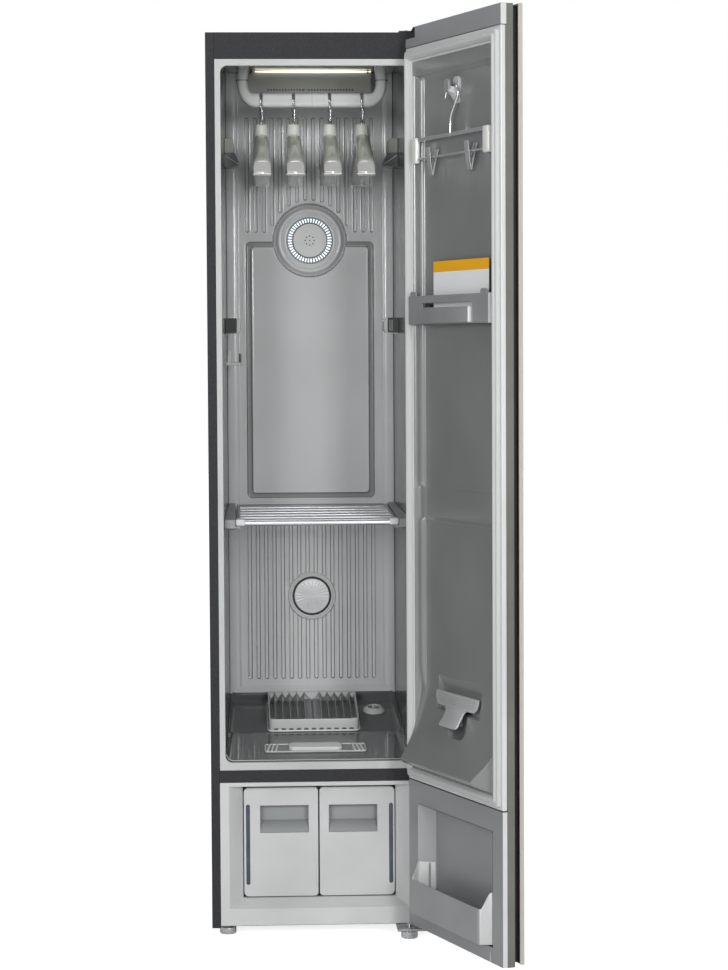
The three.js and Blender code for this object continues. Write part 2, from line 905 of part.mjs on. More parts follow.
function ringCap() {
  const front = bezelFaceY - ringCapProud;
  const back = bezelFaceY + lightRingDepth - seam;
  const holes = [roundAlongY(ringCapHole, front - overrun, back + overrun, 0, ringHeight, 6)];
  for (let hole = 0; hole < ringCapHoleCount; hole += 1) {
    const angle = (hole / ringCapHoleCount) * Math.PI * 2;
    const x = ringCapHolePitchRadius * Math.cos(angle);
    const z = ringHeight + ringCapHolePitchRadius * Math.sin(angle);
    holes.push(roundAlongY(ringCapHole, front - overrun, back + overrun, x, z, 6));
  }
  return cut(roundAlongY(ringCapRadius, front, back, 0, ringHeight, 32), holes);
}

function lowerDisc() {
  const back = bezelFaceY + lowerDiscThickness - seam;
  return roundAlongY(lowerDiscRadius, bezelFaceY, back, 0, lowerDiscHeight, 28);
}

function lamp() {
  const back = panelFaceY - seam - housingDepth - seam;
  const top = ceilingZ - seam;
  return crosswise([
    [back, top],
    [back - lampDepth, top],
    [back - lampDepth, top - lampHeight / 2],
    [back - lampDepth / 2, top - lampHeight],
    [back, top - lampHeight],
  ], -lampHalfWidth, lampHalfWidth);
}

place(cabinet, "front_rim", frontRim(), lightPlastic);
place(cabinet, "liner_left", sideWall(), linerPlastic);
place(cabinet, "liner_right", mirrored(sideWall()), linerPlastic);
place(cabinet, "liner_ceiling", ceiling(), linerPlastic);
place(cabinet, "liner_floor", cavityFloor(), linerPlastic);
place(cabinet, "liner_back", backWall(), linerPlastic);
place(cabinet, "light_ring", lightRing(), lampWhite);
place(cabinet, "ring_cap", ringCap(), lightPlastic);
place(cabinet, "lower_disc", lowerDisc(), silverPaint);
place(cabinet, "ceiling_lamp", lamp(), lampWhite);

// Duct bar and its hangers
const barTop = barBottom + barHeight;
const hangerPlaces = [-1, 1].flatMap((side) => [
  hangerOffset + side * hangerMiddleGap / 2,
  hangerOffset + side * (hangerMiddleGap / 2 + hangerOuterGap),
]).sort((a, b) => a - b);

function ductBar() {
  const quarter = Math.PI / 2;
  const top = ceilingZ - seam;
  const outer = barHalfWidth;
  const inner = barHalfWidth - barLegWidth;
  const outerX = outer - barOuterRun;
  const outerZ = barBottom + barOuterRise;
  const innerX = inner - barInnerRun;
  const innerZ = barTop + barInnerRise;
  const shape = new THREE.Shape();
  shape.moveTo(-outer + barLegLean, top);
  shape.lineTo(-outer, barJointHeight);
  shape.lineTo(-outer, outerZ);
  shape.absellipse(-outerX, outerZ, barOuterRun, barOuterRise, Math.PI, Math.PI + quarter);
  shape.lineTo(outerX, barBottom);
  shape.absellipse(outerX, outerZ, barOuterRun, barOuterRise, -quarter, 0);
  shape.lineTo(outer, barJointHeight);
  shape.lineTo(outer - barLegLean, top);
  shape.lineTo(inner - barLegLean, top);
  shape.lineTo(inner, barJointHeight);
  shape.lineTo(inner, innerZ);
  shape.absellipse(innerX, innerZ, barInnerRun, barInnerRise, 0, -quarter, true);
  shape.lineTo(-innerX, barTop);
  shape.absellipse(-innerX, innerZ, barInnerRun, barInnerRise, -quarter, Math.PI, true);
  shape.lineTo(-inner, barJointHeight);
  shape.lineTo(-inner + barLegLean, top);
  const bar = lengthwise(shape, barCentreY - barDepth / 2, barCentreY + barDepth / 2, 4);
  const saddles = hangerPlaces.map((x) => cut(
    slab(
      x - saddleWidth / 2, x + saddleWidth / 2,
      barCentreY - barDepth, barCentreY + barDepth, hookPivotHeight, barTop + overrun
    ),
    [roundAlongX(saddleRadius, x - saddleWidth, x + saddleWidth, barCentreY, hookPivotHeight, 24)]
  ));
  return cut(bar, saddles);
}

// Ring of points round a hanger section at one depth
function hangerSection(y, top, bottom, width) {
  const sides = 10;
  const ring = [];
  for (let side = 0; side < sides; side += 1) {
    const angle = (side / sides) * Math.PI * 2;
    const x = (width / 2) * Math.cos(angle);
    const z = (top + bottom) / 2 + ((top - bottom) / 2) * Math.sin(angle);
    ring.push([x, y, z]);
  }
  return ring;
}

function hangerArms() {
  const drop = hangerNeckTop - hangerTipTop;
  const lowerDrop = hangerNeckBottom - hangerTipBottom;
  const reachShares = [1, 0.9, 0.6, 0.25];
  const dropShares = [1, 0.8, 0.47, 0.15];
  const lowerDropShares = [1, 0.95, 0.58, 0.17];
  const widthShares = [0.25, 1, 0.65, 0.2];
  const arm = reachShares.map((share, index) => ({
    reach: hangerReach * share,
    top: hangerNeckTop - drop * dropShares[index],
    bottom: hangerNeckBottom - lowerDrop * lowerDropShares[index],
    width: hangerWidthNeck + (hangerWidthTip - hangerWidthNeck) * widthShares[index],
  }));
  const rear = arm.map((section) =>
    hangerSection(barCentreY + section.reach, section.top, section.bottom, section.width)
  );
  const front = arm.map((section) =>
    hangerSection(barCentreY - section.reach, section.top, section.bottom, section.width)
  ).reverse();
  const middle = [hangerSection(barCentreY, hangerNeckTop, hangerNeckBottom, hangerWidthNeck)];
  return loft([...rear, ...middle, ...front]);
}

// Wire hook: up from the neck, forward round the bar and over its crowned saddle
function hangerHook() {
  const wireRadius = saddleRadius + seam + hookWire;
  const frontSide = barCentreY - wireRadius;
  const points = [
    [barCentreY, hangerNeckTop],
    [barCentreY, hookPivotHeight - hookBend],
    [(barCentreY + frontSide) / 2, hookPivotHeight - (hookBend + hookTail) / 2],
    [frontSide, hookPivotHeight - hookTail],
  ];
  const turns = 6;
  for (let turn = 0; turn <= turns; turn += 1) {
    const angle = Math.PI * (1 - turn / turns);
    points.push([
      barCentreY + wireRadius * Math.cos(angle),
      hookPivotHeight + wireRadius * Math.sin(angle),
    ]);
  }
  points.push([barCentreY + wireRadius, hookPivotHeight - hookTail]);
  const path = new THREE.CatmullRomCurve3(points.map(([y, z]) => new THREE.Vector3(0, y, z)));
  const section = new THREE.Shape();
  section.absarc(0, 0, hookWire, 0, Math.PI * 2);
  return new THREE.ExtrudeGeometry(section, { steps: 20, curveSegments: 3, extrudePath: path });
}

function hanger() {
  return join([
    hangerArms(),
    roundAlongZ(hangerCapRadius, hangerNeckBottom + hangerCapRadius, hangerCapTop, 0, barCentreY, 12),
    hangerHook(),
  ]);
}

place(cabinet, "duct_bar", ductBar(), lightPlastic);
hangerPlaces.forEach((x, index) => {
  const hung = new THREE.Group();
  hung.position.x = x;
  place(hung, `hanger_${index + 1}`, hanger(), warmPlastic);
  cabinet.add(hung);
});

// Brackets on the side walls, drawn for the left wall with X = 0 on the wall's face
const wallLean = Math.atan2(openingHalfWidth - cavityBackHalfWidth, wallY - rimBackY);

function wallBracket(top, height, footHeight) {
  const bottom = top - height;
  return lengthwise([
    [seam, top + bracketFootWidth / 2],
    [seam, bottom - footHeight],
    [bracketFootWidth, bottom - footHeight],
    [wallBracketReach, bottom],
    [wallBracketReach, top],
  ], -wallBracketLength / 2, wallBracketLength / 2);
}

function wallLedge() {
  const half = ledgeLength / 2;
  const pinBottom = ledgeTop - ledgeHeight / 2;
  const pinTop = ledgeTop + ledgePinHeight;
  return join([
    slab(seam, ledgeReach, -half, half, ledgeTop - ledgeHeight, ledgeTop),
    roundAlongZ(ledgePinRadius, pinBottom, pinTop, ledgeReach / 2, -half / 2, 10),
  ]);
}

function onWall(name, geometry, side, y) {
  const mount = new THREE.Group();
  mount.position.set(side * cavityHalfWidth(y), y, 0);
  mount.rotation.z = side * wallLean;
  place(mount, name, side > 0 ? mirrored(geometry) : geometry, lightPlastic);
  cabinet.add(mount);
}

const upperBracket = wallBracket(upperBracketTop, upperBracketHeight, upperBracketFoot);
const middleBracket = wallBracket(middleBracketTop, middleBracketHeight, 0);
onWall("upper_bracket_left", upperBracket, -1, wallBracketY);
onWall("upper_bracket_right", upperBracket, 1, wallBracketY);
onWall("middle_bracket_left", middleBracket, -1, wallBracketY);
onWall("middle_bracket_right", middleBracket, 1, wallBracketY);
onWall("left_ledge", wallLedge(), -1, wallBracketY);

// Wire shelf, tilted a little and sliding on two runners
const shelf = new THREE.Group();
shelf.position.set(0, shelfFrontY, shelfHeight);
shelf.rotation.x = shelfTilt;
cabinet.add(shelf);

function shelfRack() {
  const innerX = shelfHalfWidth - shelfArmWidth;
  const shapes = [
    slab(-shelfHalfWidth, shelfHalfWidth, 0, shelfRailDepth, 0, shelfRailHeight),
    slab(-shelfHalfWidth, shelfHalfWidth, shelfDepth - shelfRailDepth, shelfDepth, 0, shelfRailHeight),
  ];
  for (const side of [-1, 1]) {
    const edges = [side * innerX, side * shelfHalfWidth].sort((a, b) => a - b);
    const capEnds = [shelfHalfWidth - shelfCapWidth, shelfHalfWidth + shelfCapLip];
    const cap = capEnds.map((x) => side * x).sort((a, b) => a - b);
    shapes.push(slab(edges[0], edges[1], 0, shelfDepth, 0, shelfRailHeight));
    shapes.push(slab(cap[0], cap[1], -shelfCapLip, shelfCapDepth, 0, shelfCapHeight));
  }
  for (let rod = 0; rod < shelfRodCount; rod += 1) {
    const y = shelfCapDepth + (rod + 1) * shelfRodPitch - shelfRodPitch / 2;
    shapes.push(roundAlongX(shelfRodRadius, -innerX - overrun, innerX + overrun, y, shelfRailHeight / 2, 8));
  }
  return join(shapes);
}

// Runner between the shelf's arm and the right wall, with a ledge under the arm
function shelfRunner() {
  const inner = shelfHalfWidth + runnerClearance;
  const under = shelfHalfWidth - runnerLedge;
  const wallAt = (y) => cavityHalfWidth(y + shelfFrontY) - seam - seam;
  const start = linerFrontY - shelfFrontY + shelfRailDepth;
  const plan = (x) => [
    [x, start],
    [wallAt(start), start],
    [wallAt(shelfDepth), shelfDepth],
    [x, shelfDepth],
  ];
  const middle = (start + shelfDepth) / 2;
  const footBack = middle + runnerFootLength / 2;
  const footFront = middle - runnerFootLength / 2;
  const footPlan = [
    [inner, footFront],
    [wallAt(footFront), footFront],
    [wallAt(footBack), footBack],
    [inner, footBack],
  ];
  return join([
    upright(plan(inner), -seam - runnerLedgeHeight, runnerHeight - runnerLedgeHeight),
    upright(plan(under), -seam - runnerLedgeHeight, -seam),
    upright(footPlan, -runnerLedgeHeight - runnerFootHeight, -runnerLedgeHeight),
  ]);
}

place(shelf, "wire_shelf", shelfRack(), silverPaint);
place(shelf, "shelf_runner_right", shelfRunner(), lightPlastic);
place(shelf, "shelf_runner_left", mirrored(shelfRunner()), lightPlastic);

// Pieces on the cavity floor
const rearSlope = new THREE.Group();
rearSlope.position.set(0, 0, floorBreakZ);
rearSlope.rotation.x = floorRearTilt;
const frontSlope = new THREE.Group();
frontSlope.position.set(0, 0, floorBreakZ);
frontSlope.rotation.x = floorFrontTilt;
cabinet.add(rearSlope, frontSlope);

function filterTray() {
  const x0 = filterOffset - filterWidth / 2;
  const x1 = filterOffset + filterWidth / 2;
  const y1 = filterStart + filterLength;
  const top = seam + filterHeight;
  const shell = cut(
    upright(roundedOutline(x0, x1, filterStart, y1, filterCornerRadius), seam, top),
    [upright(
      roundedOutline(
        x0 + plasticWall, x1 - plasticWall, filterStart + plasticWall, y1 - plasticWall,
        filterCornerRadius - plasticWall
      ),
      seam + plasticWall, top + overrun
    )]
  );
  const fins = [];
  for (let fin = 0; fin < filterFinsPerSide * 2; fin += 1) {
    const side = fin < filterFinsPerSide ? -1 : 1;
    const x = filterOffset + side * (filterCentreGap / 2 + (fin % filterFinsPerSide) * filterFinPitch);
    fins.push(slab(
      x - filterFinThickness / 2, x + filterFinThickness / 2,
      filterStart + plasticWall / 2, y1 - plasticWall / 2, seam + plasticWall / 2, top - filterFinClear
    ));
  }
  return join([shell, ...fins]);
}

function frontPlate() {
  const x0 = plateOffset - plateWidth / 2;
  const x1 = plateOffset + plateWidth / 2;
  const handleHalf = plateHandleWidth / 2;
  const handleStart = plateStart + (plateLength - plateHandleDepth) / 2;
  return join([
    upright(
      roundedOutline(x0, x1, plateStart, plateStart + plateLength, plateCornerRadius),
      seam, seam + plateThickness
    ),
    upright(
      roundedOutline(
        plateOffset - handleHalf, plateOffset + handleHalf,
        handleStart, handleStart + plateHandleDepth, plateHandleRadius
      ),
      seam + plateThickness / 2, seam + plateHandleHeight
    ),
  ]);
}

function roundCap() {
  const profile = [
    [0, 0],
    [capRadius, 0],
    [capRadius, capHeight / 4],
    [capTopRadius, capHeight],
    [0, capHeight],
  ].map(([radius, height]) => new THREE.Vector2(radius, height));
  const dome = new THREE.LatheGeometry(profile, 20).rotateX(Math.PI / 2);
  const slots = [];
  for (let slot = 0; slot < capSlotCount; slot += 1) {
    const x = (slot - (capSlotCount - 1) / 2) * capSlotPitch;
    slots.push(slab(
      x - capSlotWidth / 2, x + capSlotWidth / 2, -capSlotLength / 2, capSlotLength / 2,
      capHeight - capSlotDepth, capHeight + overrun
    ));
  }
  return cut(dome, slots).translate(capOffset, capStart, seam);
}

place(rearSlope, "filter_tray", filterTray(), lightPlastic);
place(rearSlope, "round_cap", roundCap(), lightPlastic);
place(frontSlope, "front_plate", frontPlate(), lightPlastic);

// Lower compartment: frame with a flared mouth, and the bay that holds both tanks
function flaredMouth() {
  const flareDepth = tankInset;
  const reach = (flareDepth + overrun) / flareDepth;
  const frontX = bayHalfWidth + (mouthHalfWidth - bayHalfWidth) * reach;
  const frontZ = bayBottom + (mouthBottom - bayBottom) * reach;
  const ring = (x, y, low) => [[-x, y, low], [x, y, low], [x, y, mouthTop], [-x, y, mouthTop]];
  return loft([ring(bayHalfWidth, tankFrontY, bayBottom), ring(frontX, frontY - overrun, frontZ)]);
}

function lowerFrame() {
  const bezelBack = frontY + lowerFrameDepth;
  const bayBack = tankFrontY + bayDepth;
  const wall = plasticWall;
  const rise = (bayBottom - mouthBottom) * (tankFrontY - rimBackY) / tankInset;
  const body = join([
    slab(-betweenFlanges, betweenFlanges, frontY, bezelBack, lowerFrameBottom, midBandBottom - seam),
    slab(-bayHalfWidth - wall, bayHalfWidth + wall, frontY + wall, bayBack, bayBottom - wall, bayTop + wall),
  ]);
  return cut(body, [
    flaredMouth(),
    slab(-bayHalfWidth, bayHalfWidth, tankFrontY - seam, bayBack - wall, bayBottom, bayTop),
    crosswise([
      [rimBackY, -overrun],
      [bezelBack + overrun, -overrun],
      [bezelBack + overrun, bayBottom - wall],
      [tankFrontY, bayBottom - wall],
      [rimBackY, bayBottom - rise - wall],
    ], -betweenFlanges - overrun, betweenFlanges + overrun),
  ]);
}

function tank(side) {
  const near = tankMiddle + side * tankClearance;
  const far = side * (bayHalfWidth - tankClearance);
  const [x0, x1] = [near, far].sort((a, b) => a - b);
  const y1 = tankFrontY + tankDepth;
  const z0 = bayBottom + tankClearance;
  const z1 = z0 + tankHeight;
  const wall = plasticWall;
  const gripMiddle = tankMiddle + side * gripOffset;
  const g0 = gripMiddle - gripWidth / 2;
  const g1 = gripMiddle + gripWidth / 2;
  const gripTop = gripBottom + gripHeight;
  const shell = lengthwise(roundedOutline(x0, x1, z0, z1, tankCornerRadius), tankFrontY, y1, 3);
  const inside = cut(
    slab(
      x0 + wall, x1 - wall, tankFrontY + wall, y1 - wall,
      z0 + tankCornerRadius / 2, z1 - tankCornerRadius / 2
    ),
    [slab(
      g0 - wall, g1 + wall, tankFrontY - overrun, tankFrontY + gripDepth + wall,
      gripBottom - wall, gripTop + wall
    )]
  );
  return cut(shell, [
    inside,
    slab(g0, g1, tankFrontY - overrun, tankFrontY + gripDepth, gripBottom, gripTop),
    roundAlongY(portRadius, y1 - wall - overrun, y1 + overrun, (x0 + x1) / 2, portHeight, 10),
  ]);
}

place(cabinet, "lower_frame", lowerFrame(), lightPlastic);
place(cabinet, "left_tank", tank(-1), lightPlastic);
place(cabinet, "right_tank", tank(1), lightPlastic);

// Hinges
function topHinge() {
  const plateBottom = caseHeight + seam;
  const armBottom = doorTop + seam;
  const plateX0 = halfWidth - hingePlateWidth;
  const armX0 = hingeX - hingeArmHalfWidth;
  const armX1 = hingeX + hingeArmHalfWidth;
  return join([
    slab(plateX0, halfWidth, frontY, frontY + hingePlateBack, plateBottom, plateBottom + hingePlate),
    slab(armX0, armX1, hingeY - hingeArmReach, frontY + hingeArmLap, armBottom, armBottom + hingePlate),
    roundAlongZ(
      hingeBossRadius, armBottom - hingeBossDrop, armBottom + hingePlate / 2, hingeX, hingeY, 14
    ),
    roundAlongZ(
      hingePinRadius, armBottom - hingePinLength, armBottom + hingePlate / 2, hingeX, hingeY, 14
    ),
  ]);
}

function bottomHinge() {
  const low = -lowerPlateDrop;
  const high = lowerPlateHeight;
  const caseSide = betweenFlanges - seam;
  const front = hingeY - lowerPlateHalfWidth - lowerPlateHeight;
  const back = panFrontY - seam;
  const ahead = frontY - seam - seam;
  const plate = upright([
    [lowerPlateInner, front],
    [hingeX + lowerPlateHalfWidth, front],
    [hingeX + lowerPlateHalfWidth, ahead],
    [caseSide, ahead],
    [caseSide, back],
    [lowerPlateInner, back],
  ], low, high);
  const body = join([
    plate,
    slab(lowerPlateInner, caseSide, back - lowerPlateFlange, back, low, crossMemberHeight),
    roundAlongZ(lowerBossRadius, high / 2, doorBottom - seam, hingeX, hingeY, 14),
    roundAlongZ(hingePinRadius, high / 2, doorBottom + hingePinLength, hingeX, hingeY, 14),
  ]);
  const footHole = footStemRadius + footHoleClearance;
  return cut(body, [
    roundAlongZ(footHole, low - overrun, high + overrun, hingeFootX, hingeFootY, 12),
  ]);
}

place(cabinet, "top_hinge", topHinge(), machineBlack);
place(cabinet, "bottom_hinge", bottomHinge(), plainSteel);

// Door, drawn closed with the hinge axis at X = 0, Y = 0, and turned to its open place
const door = new THREE.Group();
door.position.set(hingeX, hingeY, 0);
door.rotation.z = doorOpening;
cabinet.add(door);

// X of a point that lies a distance from the door's hinge side
const fromHinge = (distance) => doorInnerEdge - distance;
const doorFree = fromHinge(doorInnerWidth);
const doorMiddle = (doorInnerEdge + doorFree) / 2;
const innerFrameBack = doorInnerFace - innerFrameThickness;
const coreFace = innerFrameBack - seam;
const gripBack = glassFace + glassThickness + seam;
const coreBack = gripBack + gripFrameDepth + seam;
const coreRear = gripBack;

function doorGlass() {
  return slab(
    doorFree - doorOuterOverhang + seam, doorInnerEdge + doorOuterOverhang,
    glassFace, glassFace + glassThickness, doorBottom + glassLift, doorTop
  );
}

function gripFrame() {
  const outer = [
    doorFree + gripRecess, doorInnerEdge - gripHingeRecess,
    doorBottom + gripRecess, doorTop - gripRecess,
  ];
  const frame = outline([
    [outer[0], outer[2]],
    [outer[1], outer[2]],
    [outer[1], outer[3]],
    [outer[0], outer[3]],
  ]);
  frame.holes.push(outline([
    [outer[0] + gripFrameWidth, outer[2] + gripFrameWidth],
    [outer[0] + gripFrameWidth, outer[3] - gripFrameWidth],
    [outer[1] - gripFrameWidth, outer[3] - gripFrameWidth],
    [outer[1] - gripFrameWidth, outer[2] + gripFrameWidth],
  ]));
  const bar = lengthwise(frame, gripBack, gripBack + gripFrameDepth);
  const bore = hingePinRadius + hingePinClearance + hingePinClearance;
  const lowBoreTop = doorBottom + hingePinLength + overrun;
  const highBoreBottom = caseHeight - hingePinLength - overrun;
  return cut(bar, [
    roundAlongZ(bore, doorBottom - overrun, lowBoreTop, 0, 0, 14),
    roundAlongZ(bore, highBoreBottom, doorTop + overrun, 0, 0, 14),
    hingeNotch(),
  ]);
}

function hingeNotch() {
  return slab(
    fromHinge(hingeNotchWidth), doorInnerEdge + doorOuterOverhang + overrun,
    coreRear - overrun, doorInnerFace + overrun, doorTop - hingeNotchHeight, doorTop + overrun
  );
}

// Sloping sided pocket for the bin in the lower part of the door
function binPocket(face) {
  const reach = (face - doorInnerFace) / lowerRecessDepth;
  const outerX0 = doorFree + lowerRecessSide - lowerRecessDraft * reach;
  const outerX1 = doorInnerEdge - lowerRecessSide + lowerRecessDraft * reach;
  const deepX0 = doorFree + lowerRecessSide + lowerRecessDraft;
  const deepX1 = doorInnerEdge - lowerRecessSide - lowerRecessDraft;
  const deepY = doorInnerFace - lowerRecessDepth;
  return upright([
    [deepX0, deepY],
    [deepX1, deepY],
    [outerX1, face],
    [outerX0, face],
  ], lowerRecessBottom, lowerRecessTop);
}

function doorFrame() {
  const inset = gripFrameWidth + gripRecess + seam + seam;
  const upperPocket = slab(
    doorFree + coreInset, doorInnerEdge - coreInset, coreRear + coreSkin, doorInnerFace + overrun,
    innerFrameBottom + coreInset, innerFrameTop - coreInset
  );
  const body = join([
    slab(doorFree, doorInnerEdge, coreBack, coreFace, doorBottom, doorTop),
    slab(doorFree + inset, doorInnerEdge - inset, coreRear, coreFace, doorBottom + inset, doorTop - inset),
    slab(doorFree, doorInnerEdge, coreBack, doorInnerFace, innerFrameTop + seam, doorTop),
  ]);
  const bore = hingePinRadius + hingePinClearance;
  return cut(body, [
    upperPocket,
    binPocket(doorInnerFace + overrun),
    roundAlongZ(bore, doorBottom - overrun, doorBottom + hingePinLength + overrun, 0, 0, 14),
    roundAlongZ(bore, caseHeight - hingePinLength - overrun, doorTop + overrun, 0, 0, 14),
    hingeNotch(),
  ]);
}

function innerFrame() {
  const frame = outline([
    [doorFree, innerFrameBottom],
    [doorInnerEdge, innerFrameBottom],
    [doorInnerEdge, innerFrameTop],
    [doorFree, innerFrameTop],
  ]);
  frame.holes.push(outline([
    [doorFree + innerFrameSide, innerFrameBottom + innerFrameBottomBand],
    [doorFree + innerFrameSide, innerFrameTop - innerFrameTopBand],
    [doorInnerEdge - innerFrameSide, innerFrameTop - innerFrameTopBand],
    [doorInnerEdge - innerFrameSide, innerFrameBottom + innerFrameBottomBand],
  ]));
  return lengthwise(frame, innerFrameBack, doorInnerFace);
}

// Soft seal on the inner frame, with a crowned face
function gasket() {
  const base = doorInnerFace + seam;
  const ringAt = (y, inset) => ({
    outer: [
      doorFree + gasketInset + inset, doorInnerEdge - gasketInset - inset,
      innerFrameBottom + gasketInset + inset, innerFrameTop - gasketInset - inset,
    ],
    y,
  });
  const layers = [
    ringAt(base, 0),
    ringAt(base + gasketThickness - gasketCrown, 0),
    ringAt(base + gasketThickness, gasketCrown),
  ];
  const shell = (shrink) => loft(layers.map(({ outer, y }, index) => {
    const grow = index === 2 ? gasketCrown * shrink.edge : 0;
    const [x0, x1, z0, z1] = [
      outer[0] + shrink.width - grow, outer[1] - shrink.width + grow,
      outer[2] + shrink.width - grow, outer[3] - shrink.width + grow,
    ];
    return [[x0, y + shrink.shift[index], z0], [x0, y + shrink.shift[index], z1],
      [x1, y + shrink.shift[index], z1], [x1, y + shrink.shift[index], z0]];
  }));
  return cut(
    shell({ width: 0, edge: 0, shift: [0, 0, 0] }),
    [shell({ width: gasketWidth, edge: 2, shift: [-overrun, 0, overrun] })]
  );
}

// Upper liner: a shell that follows a height field over the door's width and height
function upperLiner() {
  const x0 = doorFree + innerFrameSide + seam;
  const x1 = doorInnerEdge - innerFrameSide - seam;
  const z0 = innerFrameBottom + innerFrameBottomBand + seam;
  const z1 = innerFrameTop - innerFrameTopBand - seam;
  const half = bulgeMiddle + (bulgeTop - bulgeMiddle) / 2;
  const low = bulgeBottom + (bulgeMiddle - bulgeBottom) / 2;
  const bulgeShares = { half: 0.15, middle: 0.3, low: 0.6 };
  const swell = bulgeFace - linerRecessFace;
  const rows = [
    [z0, doorInnerFace, 0],
    [z0 + bulgeUndercut / 2, bulgeFace - swell / 4, swell],
    [bulgeBottom, bulgeFace, swell],
    [low, linerRecessFace + swell * bulgeShares.low, swell],
    [bulgeMiddle, linerRecessFace + swell * bulgeShares.middle, swell],
    [half, linerRecessFace + swell * bulgeShares.half, swell],
    [bulgeTop, linerRecessFace, swell],
    [z1 - linerTopSlope, linerRecessFace, swell],
    [z1, doorInnerFace, 0],
  ];
  const columns = [
    [x0, 0],
    [x0 + linerSideSlope, 1],
    [x1 - linerSideSlope, 1],
    [x1, 0],
  ];
  const surface = (back) => rows.map(([z, face]) => columns.map(([x, share]) => {
    const edge = Math.min(doorInnerFace, Math.max(face, doorInnerFace - linerRecessFace / 2));
    const y = share ? face : edge;
    return [x, y - back, z];
  }));
  const front = surface(0);
  const rear = surface(linerThickness);
  const count = columns.length;
  const positions = [...front.flat(2), ...rear.flat(2)];
  const shift = rows.length * count;
  const faces = [];
  for (let row = 0; row + 1 < rows.length; row += 1) {
    for (let column = 0; column + 1 < count; column += 1) {
      const a = row * count + column;
      const b = a + 1;
      const c = a + count;
      const d = c + 1;
      faces.push(a, c, d, a, d, b);
      faces.push(shift + a, shift + b, shift + d, shift + a, shift + d, shift + c);
    }
  }
  const rim = [];
  for (let column = 0; column < count; column += 1) rim.push(column);
  for (let row = 1; row < rows.length; row += 1) rim.push(row * count + count - 1);
  for (let column = count - 2; column >= 0; column -= 1) rim.push((rows.length - 1) * count + column);
  for (let row = rows.length - 2; row > 0; row -= 1) rim.push(row * count);
  rim.forEach((a, index) => {
    const b = rim[(index + 1) % rim.length];
    faces.push(a, b, shift + b, a, shift + b, shift + a);
  });
  const geometry = new THREE.BufferGeometry();
  geometry.setAttribute("position", new THREE.Float32BufferAttribute(positions, 3));
  geometry.setIndex(faces);
  return join([
    geometry,
    slab(
      doorMiddle - doorHookPlate / 2, doorMiddle + doorHookPlate / 2,
      linerRecessFace - linerThickness / 2, linerRecessFace + linerThickness,
      doorHookHeight - doorHookPlate, doorHookHeight + doorHookLip
    ),
    crosswise([
      [linerRecessFace, doorHookHeight - doorHookWidth * 2],
      [linerRecessFace + doorHookReach, doorHookHeight - doorHookWidth],
      [linerRecessFace + doorHookReach + linerThickness, doorHookHeight + doorHookLip],
      [linerRecessFace + doorHookReach, doorHookHeight + doorHookLip],
      [linerRecessFace + doorHookReach - linerThickness, doorHookHeight],
      [linerRecessFace, doorHookHeight],
    ], doorMiddle - doorHookWidth / 2, doorMiddle + doorHookWidth / 2),
  ]);
}

function lowerPanel() {
  const panelTop = innerFrameBottom - lowerPanelGap;
  const panel = slab(
    doorFree, doorInnerEdge, innerFrameBack, doorInnerFace, doorBottom + seam, panelTop
  );
  return cut(panel, [binPocket(doorInnerFace + overrun)]);
}

// Bin that hangs in the pocket: open at the top, with wings rising to its sides
function doorBin() {
  const deep = doorInnerFace - lowerRecessDepth + seam;
  const mouthInset = (lowerRecessDraft * binWall) / lowerRecessDepth;
  const plan = (inset) => [
    [doorFree + binBackSide + mouthInset + inset, deep + inset],
    [doorInnerEdge - binBackSide - mouthInset - inset, deep + inset],
    [doorInnerEdge - binMouthSide - inset, doorInnerFace],
    [doorInnerEdge - binFrontSide - inset, binFrontFace - inset],
    [doorFree + binFrontSide + inset, binFrontFace - inset],
    [doorFree + binMouthSide + inset, doorInnerFace],
  ];
  const slope = crosswise([
    [doorInnerFace - lowerRecessDepth - overrun, binWingTop],
    [doorInnerFace, binWingTop],
    [binFrontFace - binWall, binFrontTop],
    [binFrontFace + overrun, binFrontTop],
    [binFrontFace + overrun, binWingTop + overrun],
    [doorInnerFace - lowerRecessDepth - overrun, binWingTop + overrun],
  ], doorFree, doorInnerEdge);
  return cut(upright(plan(0), binFrontBottom, binWingTop), [
    upright(plan(binWall), binFrontBottom + binWall, binWingTop + overrun),
    slope,
  ]);
}

place(door, "door_glass", doorGlass(), blackGlass);
place(door, "door_grip_frame", gripFrame(), blackPlastic);
place(door, "door_frame", doorFrame(), doorPlastic);
place(door, "door_inner_frame", innerFrame(), lightPlastic);
place(door, "door_gasket", gasket(), greyRubber);
place(door, "door_liner_upper", upperLiner(), doorPlastic);
place(door, "door_liner_lower", lowerPanel(), doorPlastic);
place(door, "door_bin", doorBin(), lightPlastic);

